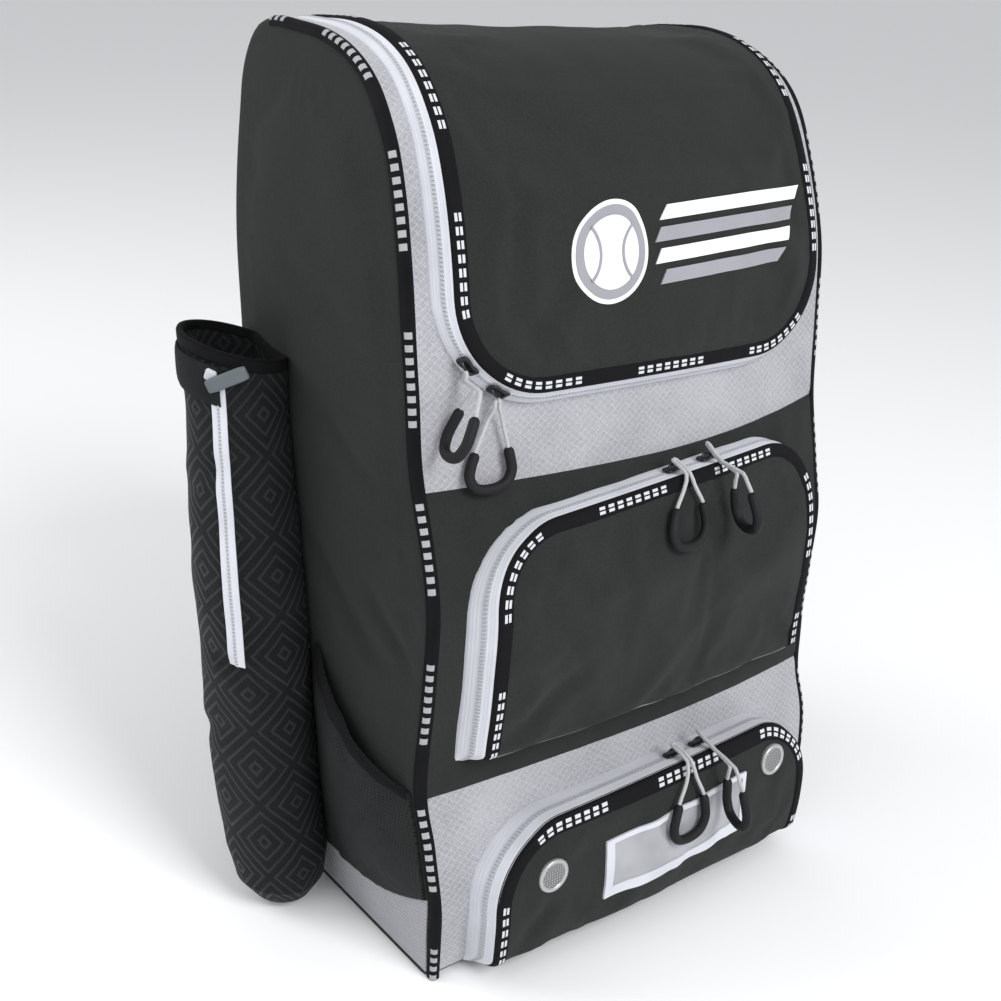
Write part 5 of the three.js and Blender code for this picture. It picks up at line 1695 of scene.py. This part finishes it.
def add_window():
    """Four strips of tape round a card under clear film."""
    w, h, b = window_width / 2, window_height / 2, window_border
    thin = 0.5 * b
    strips = {
        "low": (-w, w, -h, -h + b), "high": (-w, w, h - thin, h),
        "left": (-w, -w + b, -h + b, h - thin), "right": (w - thin, w, -h + b, h - thin),
    }
    for name, (x_from, x_to, v_from, v_to) in strips.items():
        x, s = window_grid(x_from, x_to, v_from, v_to)
        over = flap_point(low, x, s, 2.15)
        under = flap_point(low, x, s, 0.1)
        uv = np.stack([x, s * 0 + 1], axis=-1)
        nodes = ["window_frame"] if name == "low" else []
        add_slab(f"window_strip_{name}", over, under, tape_finish, uv, nodes)
    x, s = window_grid(-w + b - 1, w - thin + 1, -h + b - 1, h - thin + 1)
    over = flap_point(low, x, s, 1.3 + 0.25 * ripple(x, s, 40, 3))
    under = flap_point(low, x, s, 0.3)
    uv = np.stack([x, s], axis=-1)
    add_slab("window_film", over, under, clear_film, uv, ["window_card"])


add_window()


# Lid badge: a plain round badge with a ball's two seams, and plain stripes beside it, all
# thin raised moulded film on the lid.


def flat_film(name, colour):
    """Smooth printed film in one colour that drifts a little."""
    finish = Finish(name, "grey_fabric", colour, 0.5)
    drift = finish.grain(25.0)
    colours = finish.blend(drift, shade(colour, 0.9), shade(colour, 1.08))
    return finish.paint(colours, height=finish.grain(1.5), distance=0.1)


white_film = flat_film("white_film", (0.78, 0.78, 0.80))
grey_film = flat_film("grey_film", (0.30, 0.30, 0.33))
badge_across = -42.0
badge_height = 484.0
badge_radius = 31.0


def add_badge():
    """Three discs, one over the other, with two curved seams on the top one."""
    centre = float(along_at_height(badge_height))
    angles = np.linspace(0, 2 * math.pi, 65)[None, :]
    discs = (
        ("rim", badge_radius, 0.9, white_film), ("field", badge_radius - 3, 1.3, grey_film),
        ("ball", badge_radius - 9, 1.8, white_film),
    )
    for name, radius, height, finish in discs:
        r = np.linspace(0.02, radius, 12)[:, None]
        x = badge_across + r * np.cos(angles)
        s = centre + r * np.sin(angles)
        over, under = (flap_point(lid, x, s, lift) for lift in (height, 0.1))
        add_slab(f"badge_{name}", over, under, finish, np.stack([x, s], axis=-1))
    for way in (-1, 1):
        turn = np.linspace(-0.9, 0.9, 24)[None, :]
        r = np.linspace(19.2, 21.0, 4)[:, None]
        x = badge_across + way * (r * np.cos(turn) - 29.0)
        s = centre + r * np.sin(turn)
        over, under = (flap_point(lid, x, s, lift) for lift in (2.3, 1.0))
        add_slab(f"badge_seam_{'l' if way < 0 else 'r'}", over, under, grey_film,
                 np.stack([x, s], axis=-1))


add_badge()


def add_stripes():
    """Slanting plain stripes to the right of the badge, paler and darker by turns."""
    centre = float(along_at_height(badge_height))
    stripes = (
        # from and to across, middle and half height along, finish
        (2.0, 140.0, 21.0, 4.5, white_film), (-2.0, 132.0, 8.0, 4.5, grey_film),
        (-2.0, 124.0, -5.0, 4.5, white_film), (2.0, 116.0, -18.0, 4.5, grey_film),
    )
    for k, (x_from, x_to, middle, half, finish) in enumerate(stripes):
        x = steps(x_from, x_to, 4)[None, :]
        v = np.linspace(-half, half, 5)[:, None]
        s = centre + middle + v + 0.05 * x
        x = x + 0.6 * v
        over, under = (flap_point(lid, x, s, lift) for lift in (1.3, 0.1))
        uv = np.stack(np.broadcast_arrays(x, s), axis=-1)
        add_slab(f"lid_stripe_{k}", over, under, finish, uv)


add_stripes()


# Back: a quilted pad, two padded shoulder straps with webbing at their feet, and a handle.

back_pad_width = 270
back_pad_thickness = 8
back_pad_top = along_down_back(0.85 * bag_height)
back_pad_foot = along_down_back(0.12 * bag_height)
pad_edge = 16
pad_rim = 1.5
channel_width = 4
channel_across = 46
strap_width = 58
strap_thickness = 11
strap_stand_off = 26
strap_top_across = 0.15 * bag_width
strap_low_across = 0.272 * bag_width
strap_foot_across = 0.38 * bag_width
strap_top = along_down_back(0.85 * bag_height)
strap_foot = along_down_back(0.27 * bag_height)
webbing_foot = along_down_back(0.05 * bag_height)
webbing_tuck = 6
handle_width = 120
handle_stand_off = 16
handle_along = along_down_back(0.92 * bag_height)
pad_seat = 1.2


def spacer_mesh():
    """Black spacer mesh: small round hollows in rows over padded cloth."""
    finish = Finish("spacer_mesh", "mesh_fabric", (0.02, 0.021, 0.022), 0.85, 0.05)
    u, v = finish.cloth()
    hollows = u.wave(3.6) * v.wave(3.6)
    # Painted shade: the hollows are darker than the mesh round them.
    tone = 0.5 + hollows * 0.3 + (finish.grain(50.0) - 0.5) * 0.5
    colours = finish.blend(tone, (0.008, 0.008, 0.009), (0.045, 0.046, 0.048))
    return finish.paint(colours, height=hollows, distance=0.6)


spacer = spacer_mesh()


def add_back_pad():
    """A pad with stitched channels, thin round its edge."""
    top, foot = back_pad_top, back_pad_foot
    x = steps(-back_pad_width / 2, back_pad_width / 2, 4)[None, :]
    s = steps(top, foot, 4.5)[:, None]
    edge = np.minimum(back_pad_width / 2 - np.abs(x), np.minimum(s - top, foot - s))
    full = np.sqrt(1 - (1 - np.clip(edge / pad_edge, 0, 1)) ** 2)
    channels = np.exp(-((np.abs(x) - channel_across) / channel_width) ** 2)
    for share in (0.25, 0.5, 0.75):
        across = np.exp(-((s - top - (foot - top) * share) / channel_width) ** 2)
        channels = np.maximum(channels, across)
    height = pad_rim + (back_pad_thickness - pad_rim) * full * (1 - 0.55 * channels)
    height = height + 0.5 * ripple(x, s, 50, 2) * full
    over = skin(x, s, pad_seat + height)
    under = skin(x, s, -0.5 + 0 * height)
    uv = np.stack(np.broadcast_arrays(x, s), axis=-1)
    pad = add_slab("back_pad_cloth", over, under, spacer, uv, ["back_pad"])


add_back_pad()


def padded_band(name, line, width, thickness, finish, nodes, roll=0.35):
    """A band behind the back: line gives its place, its stand-off and if it lies across."""
    t = np.linspace(0, 1, 70)[:, None]
    k = np.linspace(-0.5, 0.5, 17)[None, :]
    x, s, off, turned = line(t)
    x, s, off, k = np.broadcast_arrays(x, s, off, k)
    place = (x, s + k * width) if turned else (x + k * width, s)
    full = (1 - np.abs(2 * k) ** 5) ** 0.5
    middle = off + thickness / 2
    half = thickness / 2 * (roll + (1 - roll) * full)
    over = skin(*place, middle + half)
    under = skin(*place, middle - half)
    run = np.cumsum(np.linalg.norm(np.diff(over[:, 8], axis=0), axis=1))
    length = np.concatenate([[0], run])[:, None]
    uv = np.stack(np.broadcast_arrays(length, k * width), axis=-1)
    return add_slab(name, over, under, finish, uv, nodes)


def add_shoulder_straps():
    """The padded straps stand off the back in a low arch, with webbing below them."""
    seat = pad_seat + back_pad_thickness + 0.3
    for side, name in ((-1, "left"), (1, "right")):

        def strap_line(t):
            x = side * (strap_top_across + (strap_low_across - strap_top_across) * t * t)
            off = seat + strap_stand_off * np.sin(math.pi * t)
            return x, strap_top + (strap_foot - strap_top) * t, off, False

        def web_line(t):
            x = side * (strap_low_across + (strap_foot_across - strap_low_across) * t)
            start = strap_foot - webbing_tuck
            s = start + (webbing_foot - start) * t
            fall = np.maximum(0, 2.4 * t - 1.4)
            return x, s, seat + (0.3 - seat) * fall, False

        strap = padded_band(f"strap_pad_{name}", strap_line, strap_width, strap_thickness,
                            spacer, [f"shoulder_strap_{name}"])
        padded_band(f"strap_web_{name}", web_line, webbing_width, webbing_thickness, webbing,
                    [f"strap_webbing_{name}"], roll=0.8)


add_shoulder_straps()


def add_handle():
    """A webbing loop across the top of the back."""
    def handle_line(t):
        x = -handle_width / 2 + handle_width * t
        return x, handle_along + 0 * t, 0.3 + handle_stand_off * np.sin(math.pi * t), True

    padded_band("handle_webbing", handle_line, webbing_width, webbing_thickness, webbing,
                ["haul_handle"], roll=0.8)


add_handle()


# Inside: the compartment's floor and the middle pocket's wall, flat sheets of dark lining cloth
# sewn in behind the front panels. They keep the meshes of the CAD frame.

lining = plain("lining", "dark_fabric", (0.03, 0.031, 0.032), 0.9, 0.0, 8.0)
for node in ("compartment_floor", "pocket_wall"):
    inner_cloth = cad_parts[node]
    inner_cloth.data.materials.clear()
    inner_cloth.data.materials.append(lining.material)
